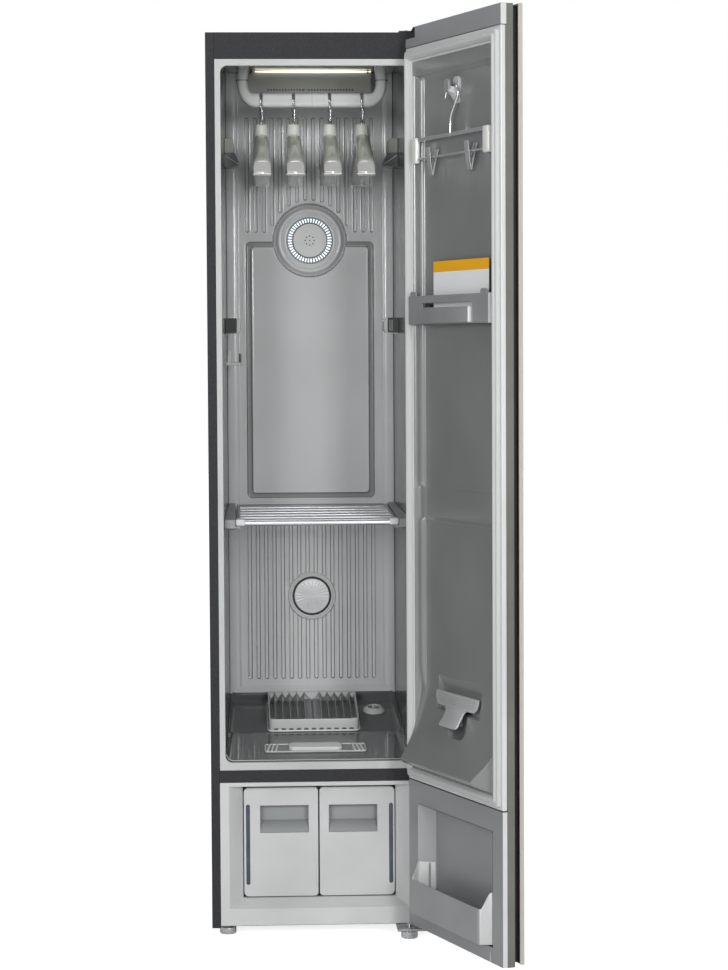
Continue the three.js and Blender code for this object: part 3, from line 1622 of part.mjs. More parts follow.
// Trouser hanger on the door's hook, with two clips that slide on its rod
function trouserHanger() {
  const x = doorMiddle;
  const end = hangHalfLength - hangCapLength;
  const cap = (x0) => slab(
    x0, x0 + hangCapLength, hangPlane - hangCapDepth / 2, hangPlane + hangCapDepth / 2, hangBottom, hangTop
  );
  const eye = doorHookHeight - hangHookDrop;
  const points = [[x, hangTop - hangBarHeight / 2], [x, eye - hangHookRadius * 2]];
  const turns = 7;
  for (let turn = 0; turn <= turns; turn += 1) {
    const angle = (turn / turns) * hangHookTurn - hangHookTurn / 6;
    points.push([x + hangHookRadius * Math.cos(angle), eye + hangHookRadius * Math.sin(angle)]);
  }
  const path = new THREE.CatmullRomCurve3(points.map(([a, b]) => new THREE.Vector3(a, hangPlane, b)));
  const section = new THREE.Shape();
  section.absarc(0, 0, hangWire, 0, Math.PI * 2);
  const wire = new THREE.ExtrudeGeometry(section, { steps: 22, curveSegments: 3, extrudePath: path });
  return join([
    cap(x - hangHalfLength),
    cap(x + end),
    slab(
      x - hangHalfLength + hangCapLength / 2, x + hangHalfLength - hangCapLength / 2,
      hangPlane - hangBarDepth / 2, hangPlane + hangBarDepth / 2, hangTop - hangBarHeight, hangTop
    ),
    roundAlongX(
      hangRodRadius, x - hangHalfLength + hangCapLength / 2, x + hangHalfLength - hangCapLength / 2,
      hangPlane, hangRodHeight, 10
    ),
    wire,
  ]);
}

function trouserClip(x) {
  const half = clipDepth / 2;
  const mouth = clipMouth / 2;
  const body = crosswise([
    [hangPlane - half, clipBottom],
    [hangPlane - mouth, clipBottom],
    [hangPlane - mouth, clipMouthTop],
    [hangPlane + mouth, clipMouthTop],
    [hangPlane + mouth, clipBottom],
    [hangPlane + half, clipBottom],
    [hangPlane + half, clipTop],
    [hangPlane - half, clipTop],
  ], x - clipWidth / 2, x + clipWidth / 2);
  return cut(body, [
    roundAlongX(clipBore, x - clipWidth, x + clipWidth, hangPlane, hangRodHeight, 12),
  ]);
}

function accessoryRack() {
  const x0 = doorFree + rackSide;
  const x1 = doorInnerEdge - rackSide;
  const back = linerRecessFace + seam;
  const front = back + rackDepth;
  const slopeClear = linerSideSlope;
  const tray = cut(
    upright([
      [x0 + slopeClear, back],
      [x1 - slopeClear, back],
      [x1, doorInnerFace],
      [x1, front],
      [x0, front],
      [x0, doorInnerFace],
    ], rackBottom, rackTop),
    [slab(
      x0 + slopeClear + rackWall, x1 - slopeClear - rackWall, back + rackWall, front - rackWall,
      rackBottom + rackWall, rackTop + overrun
    )]
  );
  const tab = (x) => slab(
    x, x + rackTabWidth, front - rackWall, front, rackTop - rackWall, rackTop + rackTabHeight
  );
  return join([tray, tab(x0 + rackTabInset), tab(x1 - rackTabInset - rackTabWidth)]);
}

// Press clip: a plate with a narrow nose, lying on the sloping bulge and hinged along its top edge
const pressShare = 0.3;
const pressSlope = Math.atan2((bulgeFace - linerRecessFace) * pressShare, bulgeTop - bulgeMiddle);

function pressClip() {
  const nose = pressNoseWidth / 2;
  const shoulder = -pressLength * pressShoulderShare;
  const neck = -pressLength * pressNeckShare;
  return lengthwise([
    [-pressHalfWidth, 0],
    [-pressHalfWidth, shoulder],
    [-nose, neck],
    [-nose, -pressLength],
    [nose, -pressLength],
    [nose, neck],
    [pressHalfWidth, shoulder],
    [pressHalfWidth, 0],
  ], 0, pressThickness);
}

place(door, "trouser_hanger", trouserHanger(), silverPaint);
place(door, "trouser_clip_left", trouserClip(doorMiddle + clipOffset), silverPaint);
place(door, "trouser_clip_right", trouserClip(doorMiddle - clipOffset), silverPaint);
place(door, "accessory_rack", accessoryRack(), lightPlastic);
const pressMount = new THREE.Group();
const pressSeatY = linerRecessFace + (bulgeTop - pressTop) * Math.tan(pressSlope);
pressMount.position.set(doorMiddle, pressSeatY + pressLift, pressTop);
pressMount.rotation.x = pressSlope;
place(pressMount, "press_clip", pressClip(), silverPaint);
door.add(pressMount);

// Machinery on the base pan and the control board under the top panel
const panFloor = steelSheet + seam;

function compressor() {
  const profile = [
    [0, 0],
    [compressorFlange, 0],
    [compressorFlange, compressorFlangeHeight],
    [compressorRadius, compressorFlangeHeight * 2],
    ...compressorDomeShares.map(([radius, height]) => [
      compressorRadius * radius, compressorHeight * height,
    ]),
    [0, compressorHeight],
  ].map(([radius, height]) => new THREE.Vector2(radius, height));
  const body = new THREE.LatheGeometry(profile, 20).rotateX(Math.PI / 2);
  return body.translate(compressorX, compressorY, panFloor);
}

function heatExchanger() {
  const x0 = exchangerX - exchangerWidth / 2;
  const y0 = exchangerY - exchangerDepth / 2;
  const y1 = exchangerY + exchangerDepth / 2;
  const block = slab(x0, x0 + exchangerWidth, y0, y1, panFloor, panFloor + exchangerHeight);
  const pitch = exchangerWidth / exchangerFinCount;
  const gaps = [];
  for (let fin = 1; fin < exchangerFinCount; fin += 1) {
    const x = x0 + fin * pitch;
    gaps.push(slab(
      x - exchangerFinGap / 2, x + exchangerFinGap / 2, y0 - overrun, y0 + exchangerFinDepth,
      panFloor + exchangerFinDepth, panFloor + exchangerHeight + overrun
    ));
  }
  return cut(block, gaps);
}

const blowerCentreZ = panFloor + blowerLift;
const blowerFrontY = blowerY - blowerHousingDepth / 2;
const blowerBackY = blowerY + blowerHousingDepth / 2;

function blowerHousing() {
  const body = join([
    roundAlongY(blowerHousingRadius, blowerFrontY, blowerBackY, blowerX, blowerCentreZ, 24),
    slab(
      blowerX, blowerX + blowerHousingRadius, blowerFrontY, blowerBackY,
      blowerCentreZ, blowerCentreZ + blowerHousingRadius + blowerWall
    ),
    slab(
      blowerX - blowerFootWidth / 2, blowerX + blowerFootWidth / 2, blowerFrontY, blowerBackY,
      panFloor, blowerCentreZ - blowerHousingRadius / 2
    ),
  ]);
  const chamber = blowerHousingRadius - blowerWall;
  const chamberFront = blowerFrontY + blowerWall;
  const chamberBack = blowerBackY - blowerWall;
  return cut(body, [
    roundAlongY(chamber, chamberFront, chamberBack, blowerX, blowerCentreZ, 24),
    roundAlongY(blowerInletRadius, blowerFrontY - overrun, blowerY, blowerX, blowerCentreZ, 20),
    slab(
      blowerX + blowerHousingRadius / 2, blowerX + chamber, chamberFront, chamberBack,
      blowerCentreZ, blowerCentreZ + blowerHousingRadius + blowerWall + overrun
    ),
  ]);
}

function blowerWheel() {
  const back = blowerBackY - blowerWall - seam;
  const front = back - blowerWheelDepth;
  const plate = roundAlongY(
    blowerWheelRadius, back - blowerWall * 2, back - blowerWall, blowerX, blowerCentreZ, 20
  );
  const boss = roundAlongY(blowerBoss, front + blowerWall, back, blowerX, blowerCentreZ, 10);
  const blades = [];
  for (let blade = 0; blade < blowerBladeCount; blade += 1) {
    const angle = (blade / blowerBladeCount) * Math.PI * 2;
    const paddle = slab(
      blowerInletRadius, blowerWheelRadius - seam, front, back - blowerWall,
      -blowerBladeThickness / 2, blowerBladeThickness / 2
    );
    paddle.rotateY(angle);
    blades.push(paddle.translate(blowerX, 0, blowerCentreZ));
  }
  return join([plate, boss, ...blades]);
}

function steamGenerator() {
  const x0 = steamX - steamWidth / 2;
  const y0 = steamY - steamDepth / 2;
  return join([
    slab(x0, x0 + steamWidth, y0, y0 + steamDepth, panFloor, panFloor + steamHeight),
    roundAlongZ(
      steamNozzleRadius, panFloor + steamHeight - overrun, panFloor + steamHeight + steamNozzleHeight,
      steamX, steamY, 12
    ),
  ]);
}

function controlBoard() {
  const bottom = caseHeight - steelSheet - seam - boardHeight;
  return slab(
    -boardWidth / 2, boardWidth / 2, boardY - boardDepth / 2, boardY + boardDepth / 2,
    bottom, bottom + boardHeight
  );
}

place(cabinet, "compressor", compressor(), machineBlack);
place(cabinet, "heat_exchanger", heatExchanger(), finAluminium);
place(cabinet, "blower_housing", blowerHousing(), machineBlack);
place(cabinet, "blower_wheel", blowerWheel(), machineBlack);
place(cabinet, "steam_generator", steamGenerator(), machineBlack);
place(cabinet, "control_box", controlBoard(), machineBlack);

export default cabinet;
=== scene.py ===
# Clothes care steam cabinet with its door open, dressed for its photograph.
# Lengths below are millimetres in the part's own frame; every mesh is turned to metres as it is placed.
import bmesh
import bpy
import math
import numpy as np
from mathutils import Matrix, Vector


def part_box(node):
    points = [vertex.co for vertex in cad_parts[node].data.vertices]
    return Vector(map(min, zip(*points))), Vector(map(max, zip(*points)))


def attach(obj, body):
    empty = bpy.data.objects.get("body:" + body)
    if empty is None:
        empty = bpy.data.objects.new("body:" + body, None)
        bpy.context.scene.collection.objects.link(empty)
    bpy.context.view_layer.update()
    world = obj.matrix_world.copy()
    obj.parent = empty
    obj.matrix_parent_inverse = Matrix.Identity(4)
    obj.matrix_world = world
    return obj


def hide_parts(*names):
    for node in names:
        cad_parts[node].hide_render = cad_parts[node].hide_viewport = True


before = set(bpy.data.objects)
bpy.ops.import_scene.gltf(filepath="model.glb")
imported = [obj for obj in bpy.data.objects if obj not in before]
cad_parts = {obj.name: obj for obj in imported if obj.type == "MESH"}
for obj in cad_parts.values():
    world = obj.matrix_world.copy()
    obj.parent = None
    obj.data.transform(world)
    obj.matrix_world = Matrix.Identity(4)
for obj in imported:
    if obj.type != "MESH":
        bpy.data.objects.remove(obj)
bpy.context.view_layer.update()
MM = 0.001

# Door: where it hangs, how far it stands open, and the middle of its liner in its own frame
HINGE = (207, -308.5, 0)
DOOR_TURN = math.radians(110.5)
DOOR_MIDDLE = -208.25

# Floor of the cavity: the level of the fold between its slopes, the rise and run in front, the tilt behind
FOLD_Z = 363.9
FRONT_RISE, FRONT_RUN = 18.1, 258.2
REAR_TILT = math.radians(12)

# Middles of the ring light, of the lower disc and of the duct bar
RING_Z = 1430
DISC_Z = 639
BAR_Y = -25
SIDES = ((-1, "left"), (1, "right"))


# A frame at a spot, turned about one axis, for meshes drawn in millimetres
def turned_frame(parent, spot, turn, axis):
    return parent @ Matrix.Translation(spot) @ Matrix.Rotation(turn, 4, axis)


IN_CASE = Matrix.Scale(MM, 4)
IN_DOOR = turned_frame(IN_CASE, HINGE, DOOR_TURN, "Z")
ON_SHELF = turned_frame(IN_CASE, (0, -247, 827.5), math.radians(1.2), "X")
ON_REAR_SLOPE = turned_frame(IN_CASE, (0, 0, FOLD_Z), REAR_TILT, "X")
ON_FRONT_SLOPE = turned_frame(IN_CASE, (0, 0, FOLD_Z), math.atan2(FRONT_RISE, FRONT_RUN), "X")
ON_PRESS_SLOPE = turned_frame(IN_DOOR, (DOOR_MIDDLE, 12.15, 509), math.radians(8.0), "X")


# Colours are written as sRGB and turned to linear here
def colour(code):
    channels = [int(code[i:i + 2], 16) / 255 for i in (1, 3, 5)]
    linear = [c / 12.92 if c <= 0.04045 else ((c + 0.055) / 1.055) ** 2.4 for c in channels]
    return (*linear, 1.0)


# Cells of a pattern to one metre, from the real size of one cell in millimetres
def cells(size):
    return 1000.0 / size


# Adds a node with its settings, its values and the sockets that feed it
def add(tree, kind, feeds=None, **settings):
    made = tree.nodes.new("ShaderNode" + kind)
    for name, value in settings.items():
        setattr(made, name, value)
    for socket, value in (feeds or {}).items():
        if isinstance(value, bpy.types.NodeSocket):
            tree.links.new(value, made.inputs[socket])
        else:
            made.inputs[socket].default_value = value
    return made


# A bare material with its shader and the place of a point on the piece
def blank(name, **values):
    finish = bpy.data.materials.new(name)
    finish.use_nodes = True
    tree = finish.node_tree
    shader = tree.nodes["Principled BSDF"]
    for socket, value in values.items():
        shader.inputs[socket.replace("_", " ")].default_value = value
    place = add(tree, "TexCoord").outputs["Object"]
    return finish, tree, shader, place


# Two tones mixed by a pattern, fed to the base colour
def two_tone(tree, shader, pattern, low, high, start=0.3, end=0.7):
    ramp = add(tree, "ValToRGB", {"Fac": pattern})
    ramp.color_ramp.elements[0].position = start
    ramp.color_ramp.elements[0].color = colour(low)
    ramp.color_ramp.elements[1].position = end
    ramp.color_ramp.elements[1].color = colour(high)
    tree.links.new(ramp.outputs["Color"], shader.inputs["Base Color"])


# Roughness that wanders between two values
def worn(tree, shader, pattern, low, high):
    span = add(tree, "MapRange", {"Value": pattern, "To Min": low, "To Max": high})
    tree.links.new(span.outputs["Result"], shader.inputs["Roughness"])


# Relief of a given height in millimetres
def relief(tree, shader, pattern, height, strength=0.5):
    bump = add(tree, "Bump", {"Height": pattern, "Distance": height * MM, "Strength": strength})
    tree.links.new(bump.outputs["Normal"], shader.inputs["Normal"])


# Powder coated steel, charcoal: a fine dry speckle. The 0.3 mm grain is drawn at 1.6 mm so that it shows.
def powder_coat():
    finish, tree, shader, place = blank("powder_coat_charcoal")
    shader.inputs["Specular IOR Level"].default_value = 0.22
    grain = add(tree, "TexNoise", {"Vector": place, "Scale": cells(1.6), "Detail": 4.0, "Roughness": 0.75})
    cloud = add(tree, "TexNoise", {"Vector": place, "Scale": cells(180), "Detail": 2.0})
    two_tone(tree, shader, grain.outputs["Fac"], "#29292c", "#3c3c3f", 0.4, 0.66)
    worn(tree, shader, cloud.outputs["Fac"], 0.66, 0.78)
    relief(tree, shader, grain.outputs["Fac"], 0.05, 0.35)
    return finish


# Injection moulded ABS in light grey with a satin skin: soft highlights, a barely uneven tone
def light_abs(name, low, high, rough=0.34):
    finish, tree, shader, place = blank(name, IOR=1.53)
    cloud = add(tree, "TexNoise", {"Vector": place, "Scale": cells(140), "Detail": 3.0})
    skin = add(tree, "TexNoise", {"Vector": place, "Scale": cells(0.9), "Detail": 2.0})
    two_tone(tree, shader, cloud.outputs["Fac"], low, high)
    worn(tree, shader, skin.outputs["Fac"], rough - 0.04, rough + 0.05)
    relief(tree, shader, skin.outputs["Fac"], 0.02, 0.25)
    return finish


# Vacuum formed liner with a glossy skin: long soft reflections over a faint orange peel
def glossy_liner(name, low, high, rough, wave, index=1.53, coat=0.25):
    finish, tree, shader, place = blank(name, IOR=index, Coat_Weight=coat, Coat_Roughness=0.12)
    cloud = add(tree, "TexNoise", {"Vector": place, "Scale": cells(220), "Detail": 2.0})
    peel = add(tree, "TexNoise", {"Vector": place, "Scale": cells(9), "Detail": 2.0})
    two_tone(tree, shader, cloud.outputs["Fac"], low, high)
    worn(tree, shader, cloud.outputs["Fac"], rough - 0.03, rough + 0.06)
    relief(tree, shader, peel.outputs["Fac"], 0.06, wave)
    return finish


# Vacuum formed polystyrene of the door: satin, with a fine even grain. The 0.4 mm grain is drawn at 1.2 mm.
def door_liner_skin(name, low, high, rough=0.34):
    finish, tree, shader, place = blank(name, IOR=1.55, Coat_Weight=0.15, Coat_Roughness=0.2)
    cloud = add(tree, "TexNoise", {"Vector": place, "Scale": cells(260), "Detail": 2.0})
    grain = add(tree, "TexVoronoi", {"Vector": place, "Scale": cells(1.2)})
    two_tone(tree, shader, cloud.outputs["Fac"], low, high)
    worn(tree, shader, cloud.outputs["Fac"], rough - 0.03, rough + 0.06)
    relief(tree, shader, grain.outputs["Distance"], 0.03, 0.2)
    return finish


# Black moulded ABS with a spark eroded grain, 0.5 mm drawn at 1 mm: dull, with small glints
def black_abs():
    finish, tree, shader, place = blank("abs_black_eroded", IOR=1.53)
    grain = add(tree, "TexNoise", {"Vector": place, "Scale": cells(1.0), "Detail": 3.0})
    two_tone(tree, shader, grain.outputs["Fac"], "#101011", "#1e1e20")
    worn(tree, shader, grain.outputs["Fac"], 0.42, 0.6)
    relief(tree, shader, grain.outputs["Fac"], 0.04, 0.4)
    return finish


# Tempered glass, painted dark on its back: a deep mirror that smudges a little
def painted_glass():
    finish, tree, shader, place = blank(
        "tempered_glass_dark", IOR=1.52, Coat_Weight=1.0, Coat_Roughness=0.02, Coat_IOR=1.52
    )
    smudge = add(tree, "TexNoise", {"Vector": place, "Scale": cells(90), "Detail": 4.0})
    two_tone(tree, shader, smudge.outputs["Fac"], "#1b1d20", "#202226")
    worn(tree, shader, smudge.outputs["Fac"], 0.05, 0.12)
    return finish


# Ground edge of the glass: a dull warm grey with the fine scratches of the wheel, 0.4 mm drawn at 1 mm
def ground_glass_edge():
    finish, tree, shader, place = blank("glass_ground_edge", IOR=1.52)
    scratch = add(tree, "TexNoise", {"Vector": place, "Scale": cells(1.0), "Detail": 3.0})
    two_tone(tree, shader, scratch.outputs["Fac"], "#aaa59f", "#bfbab4")
    worn(tree, shader, scratch.outputs["Fac"], 0.3, 0.45)
    return finish


# Zinc plated steel: a pale metal with a cloudy bloom and fine rolling lines of 0.6 mm
def zinc_plate():
    finish, tree, shader, place = blank("zinc_plated_steel", Metallic=1.0)
    bloom = add(tree, "TexNoise", {"Vector": place, "Scale": cells(14), "Detail": 4.0})
    lines = add(tree, "TexNoise", {
        "Vector": add(tree, "Mapping", {"Vector": place, "Scale": (1.0, 1.0, 14.0)}).outputs["Vector"],
        "Scale": cells(9), "Detail": 2.0,
    })
    two_tone(tree, shader, bloom.outputs["Fac"], "#96989a", "#b9babb")
    worn(tree, shader, bloom.outputs["Fac"], 0.28, 0.46)
    relief(tree, shader, lines.outputs["Fac"], 0.02, 0.3)
    return finish


# Chromed spring wire: bright, almost a mirror, with small dull spots
def chrome_wire():
    finish, tree, shader, place = blank("chromed_steel_wire", Metallic=1.0)
    spots = add(tree, "TexNoise", {"Vector": place, "Scale": cells(5), "Detail": 3.0})
    two_tone(tree, shader, spots.outputs["Fac"], "#d0d2d4", "#e6e7e8")
    worn(tree, shader, spots.outputs["Fac"], 0.2, 0.26)
    return finish


# Aluminium, anodised silver and drawn: pale, with fine lines along its length of 0.5 mm
def drawn_aluminium(name="aluminium_anodised_silver", along=(1.0, 6.0, 6.0), low="#c6c8cb", high="#d8dadc"):
    finish, tree, shader, place = blank(name, Metallic=1.0)
    stretch = add(tree, "Mapping", {"Vector": place, "Scale": along}).outputs["Vector"]
    lines = add(tree, "TexNoise", {"Vector": stretch, "Scale": cells(10), "Detail": 3.0})
    two_tone(tree, shader, lines.outputs["Fac"], low, high)
    worn(tree, shader, lines.outputs["Fac"], 0.3, 0.38)
    relief(tree, shader, lines.outputs["Fac"], 0.01, 0.08)
    return finish


# ABS sprayed with silver lacquer: flakes of 0.2 mm drawn at 0.8 mm, which sparkle softly under a thin coat
def silver_lacquer():
    finish, tree, shader, place = blank(
        "silver_lacquer_on_abs", Metallic=0.55, Coat_Weight=0.4, Coat_Roughness=0.1
    )
    flake = add(tree, "TexVoronoi", {"Vector": place, "Scale": cells(0.8)})
    two_tone(tree, shader, flake.outputs["Distance"], "#b6b8ba", "#c9cacc", 0.1, 0.9)
    worn(tree, shader, flake.outputs["Distance"], 0.26, 0.4)
    return finish


# Glossy moulded shell of the hangers: warm white grey, with a clear lacquer
def hanger_shell(name, low, high):
    finish, tree, shader, place = blank(name, IOR=1.53, Coat_Weight=0.6, Coat_Roughness=0.06)
    cloud = add(tree, "TexNoise", {"Vector": place, "Scale": cells(60), "Detail": 2.0})
    two_tone(tree, shader, cloud.outputs["Fac"], low, high)
    worn(tree, shader, cloud.outputs["Fac"], 0.22, 0.3)
    return finish


# Green grey middle of the hangers under clear lacquer: it fades to the light shell above and below. Its tones
# are drawn lighter than the plastic, most of all towards the top, as painted light on the arms' upper faces,
# which the lamps only graze.
def hanger_body():
    finish, tree, shader, place = blank(
        "abs_hanger_green_grey_painted_light", IOR=1.4, Coat_Weight=1.0, Coat_IOR=1.9, Coat_Roughness=0.06
    )
    height = add(tree, "SeparateXYZ", {"Vector": place}).outputs["Z"]
    ramp = add(tree, "ValToRGB", {"Fac": add(tree, "MapRange", {
        "Value": height, "From Min": 1.56, "From Max": 1.66,
    }).outputs["Result"]})
    ramp.color_ramp.elements[0].color = colour("#9d9d9c")
    ramp.color_ramp.elements[1].color = colour("#d6d7d1")
    # Lighter middle and upper stops: painted light on the arms' upper faces
    for position, code in (
        (0.2, "#a2a29f"), (0.3, "#aeb1a7"), (0.5, "#bcc1b3"), (0.7, "#c6cabd"), (0.82, "#d4d5cf"),
    ):
        ramp.color_ramp.elements.new(position).color = colour(code)
    cloud = add(tree, "TexNoise", {"Vector": place, "Scale": cells(30), "Detail": 2.0})
    tree.links.new(ramp.outputs["Color"], shader.inputs["Base Color"])
    worn(tree, shader, cloud.outputs["Fac"], 0.34, 0.42)
    return finish


# Clear polycarbonate: lets most light through, with faint flow lines
def clear_polycarbonate():
    finish, tree, shader, place = blank("polycarbonate_clear", IOR=1.58, Alpha=0.14)
    flow = add(tree, "TexNoise", {"Vector": place, "Scale": cells(12), "Detail": 2.0})
    two_tone(tree, shader, flow.outputs["Fac"], "#9b9e9d", "#b0b2b1")
    worn(tree, shader, flow.outputs["Fac"], 0.06, 0.16)
    return finish


# Smoked polycarbonate of the level windows: dark blue, smooth and shiny
def smoked_window():
    finish, tree, shader, place = blank(
        "polycarbonate_smoked", IOR=1.58, Coat_Weight=0.5, Coat_Roughness=0.05
    )
    depth = add(tree, "TexNoise", {"Vector": place, "Scale": cells(30), "Detail": 2.0})
    two_tone(tree, shader, depth.outputs["Fac"], "#2f3648", "#3d465b")
    worn(tree, shader, depth.outputs["Fac"], 0.1, 0.2)
    return finish


# Extruded soft PVC of the seal: dull light grey with a fine skin of 0.7 mm
def soft_seal():
    finish, tree, shader, place = blank("soft_pvc_seal", IOR=1.5, Sheen_Weight=0.15, Sheen_Roughness=0.4)
    skin = add(tree, "TexNoise", {"Vector": place, "Scale": cells(0.7), "Detail": 3.0})
    two_tone(tree, shader, skin.outputs["Fac"], "#b4b6b6", "#c0c2c2")
    worn(tree, shader, skin.outputs["Fac"], 0.5, 0.66)
    relief(tree, shader, skin.outputs["Fac"], 0.04, 0.3)
    return finish


# Opal diffuser with lit diodes behind: glows evenly, a little brighter in cells of 4 mm
def lit_diffuser(name, tint, strength):
    finish, tree, shader, place = blank(name, Roughness=0.4)
    shader.inputs["Emission Color"].default_value = colour(tint)
    cell = add(tree, "TexNoise", {"Vector": place, "Scale": cells(4), "Detail": 1.0})
    two_tone(tree, shader, cell.outputs["Fac"], "#e4e8ee", "#f6f8fb")
    glow = add(tree, "MapRange", {
        "Value": cell.outputs["Fac"], "To Min": strength * 0.85, "To Max": strength,
    })
    tree.links.new(glow.outputs["Result"], shader.inputs["Emission Strength"])
    return finish


# Coated card: white board with a faint fibre of 0.8 mm
def coated_card(name, low, high):
    finish, tree, shader, place = blank(name, IOR=1.45, Coat_Weight=0.2, Coat_Roughness=0.15)
    fibre = add(tree, "TexNoise", {"Vector": place, "Scale": cells(0.8), "Detail": 4.0})
    two_tone(tree, shader, fibre.outputs["Fac"], low, high)
    worn(tree, shader, fibre.outputs["Fac"], 0.35, 0.5)
    relief(tree, shader, fibre.outputs["Fac"], 0.01, 0.2)
    return finish


# Hot dipped galvanised sheet: crystals of about 8 mm in slightly different greys
def galvanised_sheet():
    finish, tree, shader, place = blank("galvanised_sheet", Metallic=0.9)
    spangle = add(tree, "TexVoronoi", {"Vector": place, "Scale": cells(8)})
    two_tone(tree, shader, spangle.outputs["Color"], "#8d9092", "#b3b5b7")
    worn(tree, shader, spangle.outputs["Color"], 0.34, 0.5)
    return finish


# Cast and black lacquered iron of the machinery: dull, with a sand cast skin of 1.5 mm
def black_casting():
    finish, tree, shader, place = blank("lacquered_casting_black", Metallic=0.2)
    sand = add(tree, "TexNoise", {"Vector": place, "Scale": cells(1.5), "Detail": 4.0})
    two_tone(tree, shader, sand.outputs["Fac"], "#1c1d20", "#2d2f33")
    worn(tree, shader, sand.outputs["Fac"], 0.45, 0.65)
    relief(tree, shader, sand.outputs["Fac"], 0.1, 0.4)
    return finish


CHARCOAL = powder_coat()
LIGHT = light_abs("abs_light_satin", "#c0c2c2", "#cbcdcd")
TANK = light_abs("abs_tank_satin", "#b6b8b8", "#c2c4c4", 0.36)
FRAME_LIGHT = light_abs("abs_frame_satin", "#c6c8c8", "#d0d2d2", 0.3)
RIM = light_abs("abs_rim_satin", "#afb1b0", "#babcbb", 0.24)
WHITE = light_abs("abs_white_satin", "#e6e7e7", "#eeefef", 0.3)
BAR = light_abs("abs_bar_satin", "#c2c4c4", "#cccece", 0.3)
FRAME_LOW = light_abs("abs_lower_frame", "#bbbdbc", "#c6c8c7", 0.28)
DISC = light_abs("abs_disc_lacquer", "#c8cacb", "#dddfe0", 0.22)
SCOOP = light_abs("abs_bracket_gloss", "#626566", "#6e7172", 0.16)
CHANNEL = light_abs("abs_tray_bed", "#8b8d8d", "#979999", 0.5)
# Lighter copy of the door panel's finish: painted light on the pocket walls that face out
POCKET_WALL_PAINTED_LIGHT = door_liner_skin("polystyrene_pocket_wall_painted_light", "#949697", "#a0a2a3")
GREY = light_abs("abs_grey_satin", "#838687", "#8f9293", 0.36)
DARK_GREY = light_abs("abs_dark_grey_satin", "#55585a", "#626567", 0.4)
SAGE = light_abs("abs_sage_grey", "#868b85", "#949992", 0.34)
SIDE_STRIP = light_abs("abs_door_side", "#62625e", "#70706a", 0.42)
WALL = glossy_liner("abs_liner_wall", "#484a49", "#535554", 0.16, 0.03, 1.36, 0.0)
BACK = glossy_liner("abs_liner_back", "#c8cacb", "#d1d3d4", 0.14, 0.03)
# Darker copy of the back wall's finish: painted shade for the flute sides and the groove's bed
PAINTED_GROOVE_SHADE = glossy_liner("abs_liner_painted_groove_shade", "#858787", "#909292", 0.2, 0.03)
CEILING = glossy_liner("abs_liner_ceiling", "#a9aba8", "#b4b6b2", 0.24, 0.06)
# Dark finish of the cavity floor: painted shade on its up-facing slopes
SHADED_FLOOR = glossy_liner("abs_liner_floor_painted_shade", "#58595a", "#616364", 0.06, 0.02, 1.25, 0.0)
LINER = door_liner_skin("polystyrene_door_liner", "#7c7e7e", "#868888", 0.15)
DOOR_PANEL = door_liner_skin("polystyrene_door_panel", "#7f8183", "#8b8d8f")
BLACK = black_abs()
GLASS = painted_glass()
ZINC = zinc_plate()
CHROME = chrome_wire()
ALUMINIUM = drawn_aluminium()
FIN = drawn_aluminium("aluminium_fins", (20.0, 20.0, 1.0), "#a9acb0", "#c8cacd")
SILVER = silver_lacquer()
GLASS_EDGE = ground_glass_edge()
PRESS = light_abs("abs_press_clip", "#a3a6a6", "#aeb1b1", 0.34)
BIN = light_abs("abs_bin_satin", "#8b8e8f", "#969999", 0.34)
SHELL = hanger_shell("abs_hanger_gloss", "#c4c4bd", "#d2d2cc")
SHELL_WHITE = hanger_shell("abs_hanger_white", "#d9d9d5", "#e4e4e0")
HANGER_BODY = hanger_body()
CLEAR = clear_polycarbonate()
WINDOW = smoked_window()
SEAL = soft_seal()
RING_LIGHT = lit_diffuser("opal_ring_cold", "#e8f4ff", 0.85)
RING_EDGE = lit_diffuser("opal_ring_edge", "#8fc6e8", 0.9)
RING_BASE = light_abs("abs_ring_land", "#6b7479", "#767f84", 0.3)
LAMP_LIGHT = lit_diffuser("opal_lamp_warm", "#fff6dc", 1.7)
CARD_WHITE = coated_card("card_white", "#e6e9ea", "#f2f4f4")
CARD_AMBER = coated_card("card_amber", "#f0ac08", "#f7b818")
PAN = galvanised_sheet()
MACHINE = black_casting()


# Gives a mesh its finish or finishes and its body, hides the nodes that it stands for, and shades it smooth
# with sharp edges past a crease angle
def dress(piece, finishes, body, stands_for=(), crease=35):
    piece.data.materials.clear()
    for finish in finishes if isinstance(finishes, (list, tuple)) else [finishes]:
        piece.data.materials.append(finish)
    piece.data.shade_smooth()
    piece.data.set_sharp_from_angle(angle=math.radians(crease))
    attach(piece, body)
    if stands_for:
        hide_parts(*([stands_for] if isinstance(stands_for, str) else stands_for))
    return piece


# Gives the faces that pass a test the second finish of their piece
def second_finish(piece, test):
    for face in piece.data.polygons:
        face.material_index = 1 if test(face) else 0


# Low and high end of a stretch on one side of the middle
def mirrored(side, near, far):
    return sorted((side * near, side * far))


# A new object from points and faces in a local frame
def mesh_piece(name, points, faces, place=IN_CASE, numbers=None):
    mesh = bpy.data.meshes.new(name)
    mesh.from_pydata([tuple(point) for point in points], [], [tuple(face) for face in faces])
    if numbers is not None:
        mesh.polygons.foreach_set("material_index", np.asarray(numbers, np.int32))
    mesh.transform(place)
    piece = bpy.data.objects.new(name, mesh)
    bpy.context.scene.collection.objects.link(piece)
    return piece


# Opens a mesh, lets a function change it and writes it back
def reworked(mesh, change):
    work = bmesh.new()
    work.from_mesh(mesh)
    change(work)
    work.to_mesh(mesh)
    work.free()


# Makes all faces of a closed mesh look outward
def outward(piece):
    reworked(piece.data, lambda work: bmesh.ops.recalc_face_normals(work, faces=work.faces))
    return piece


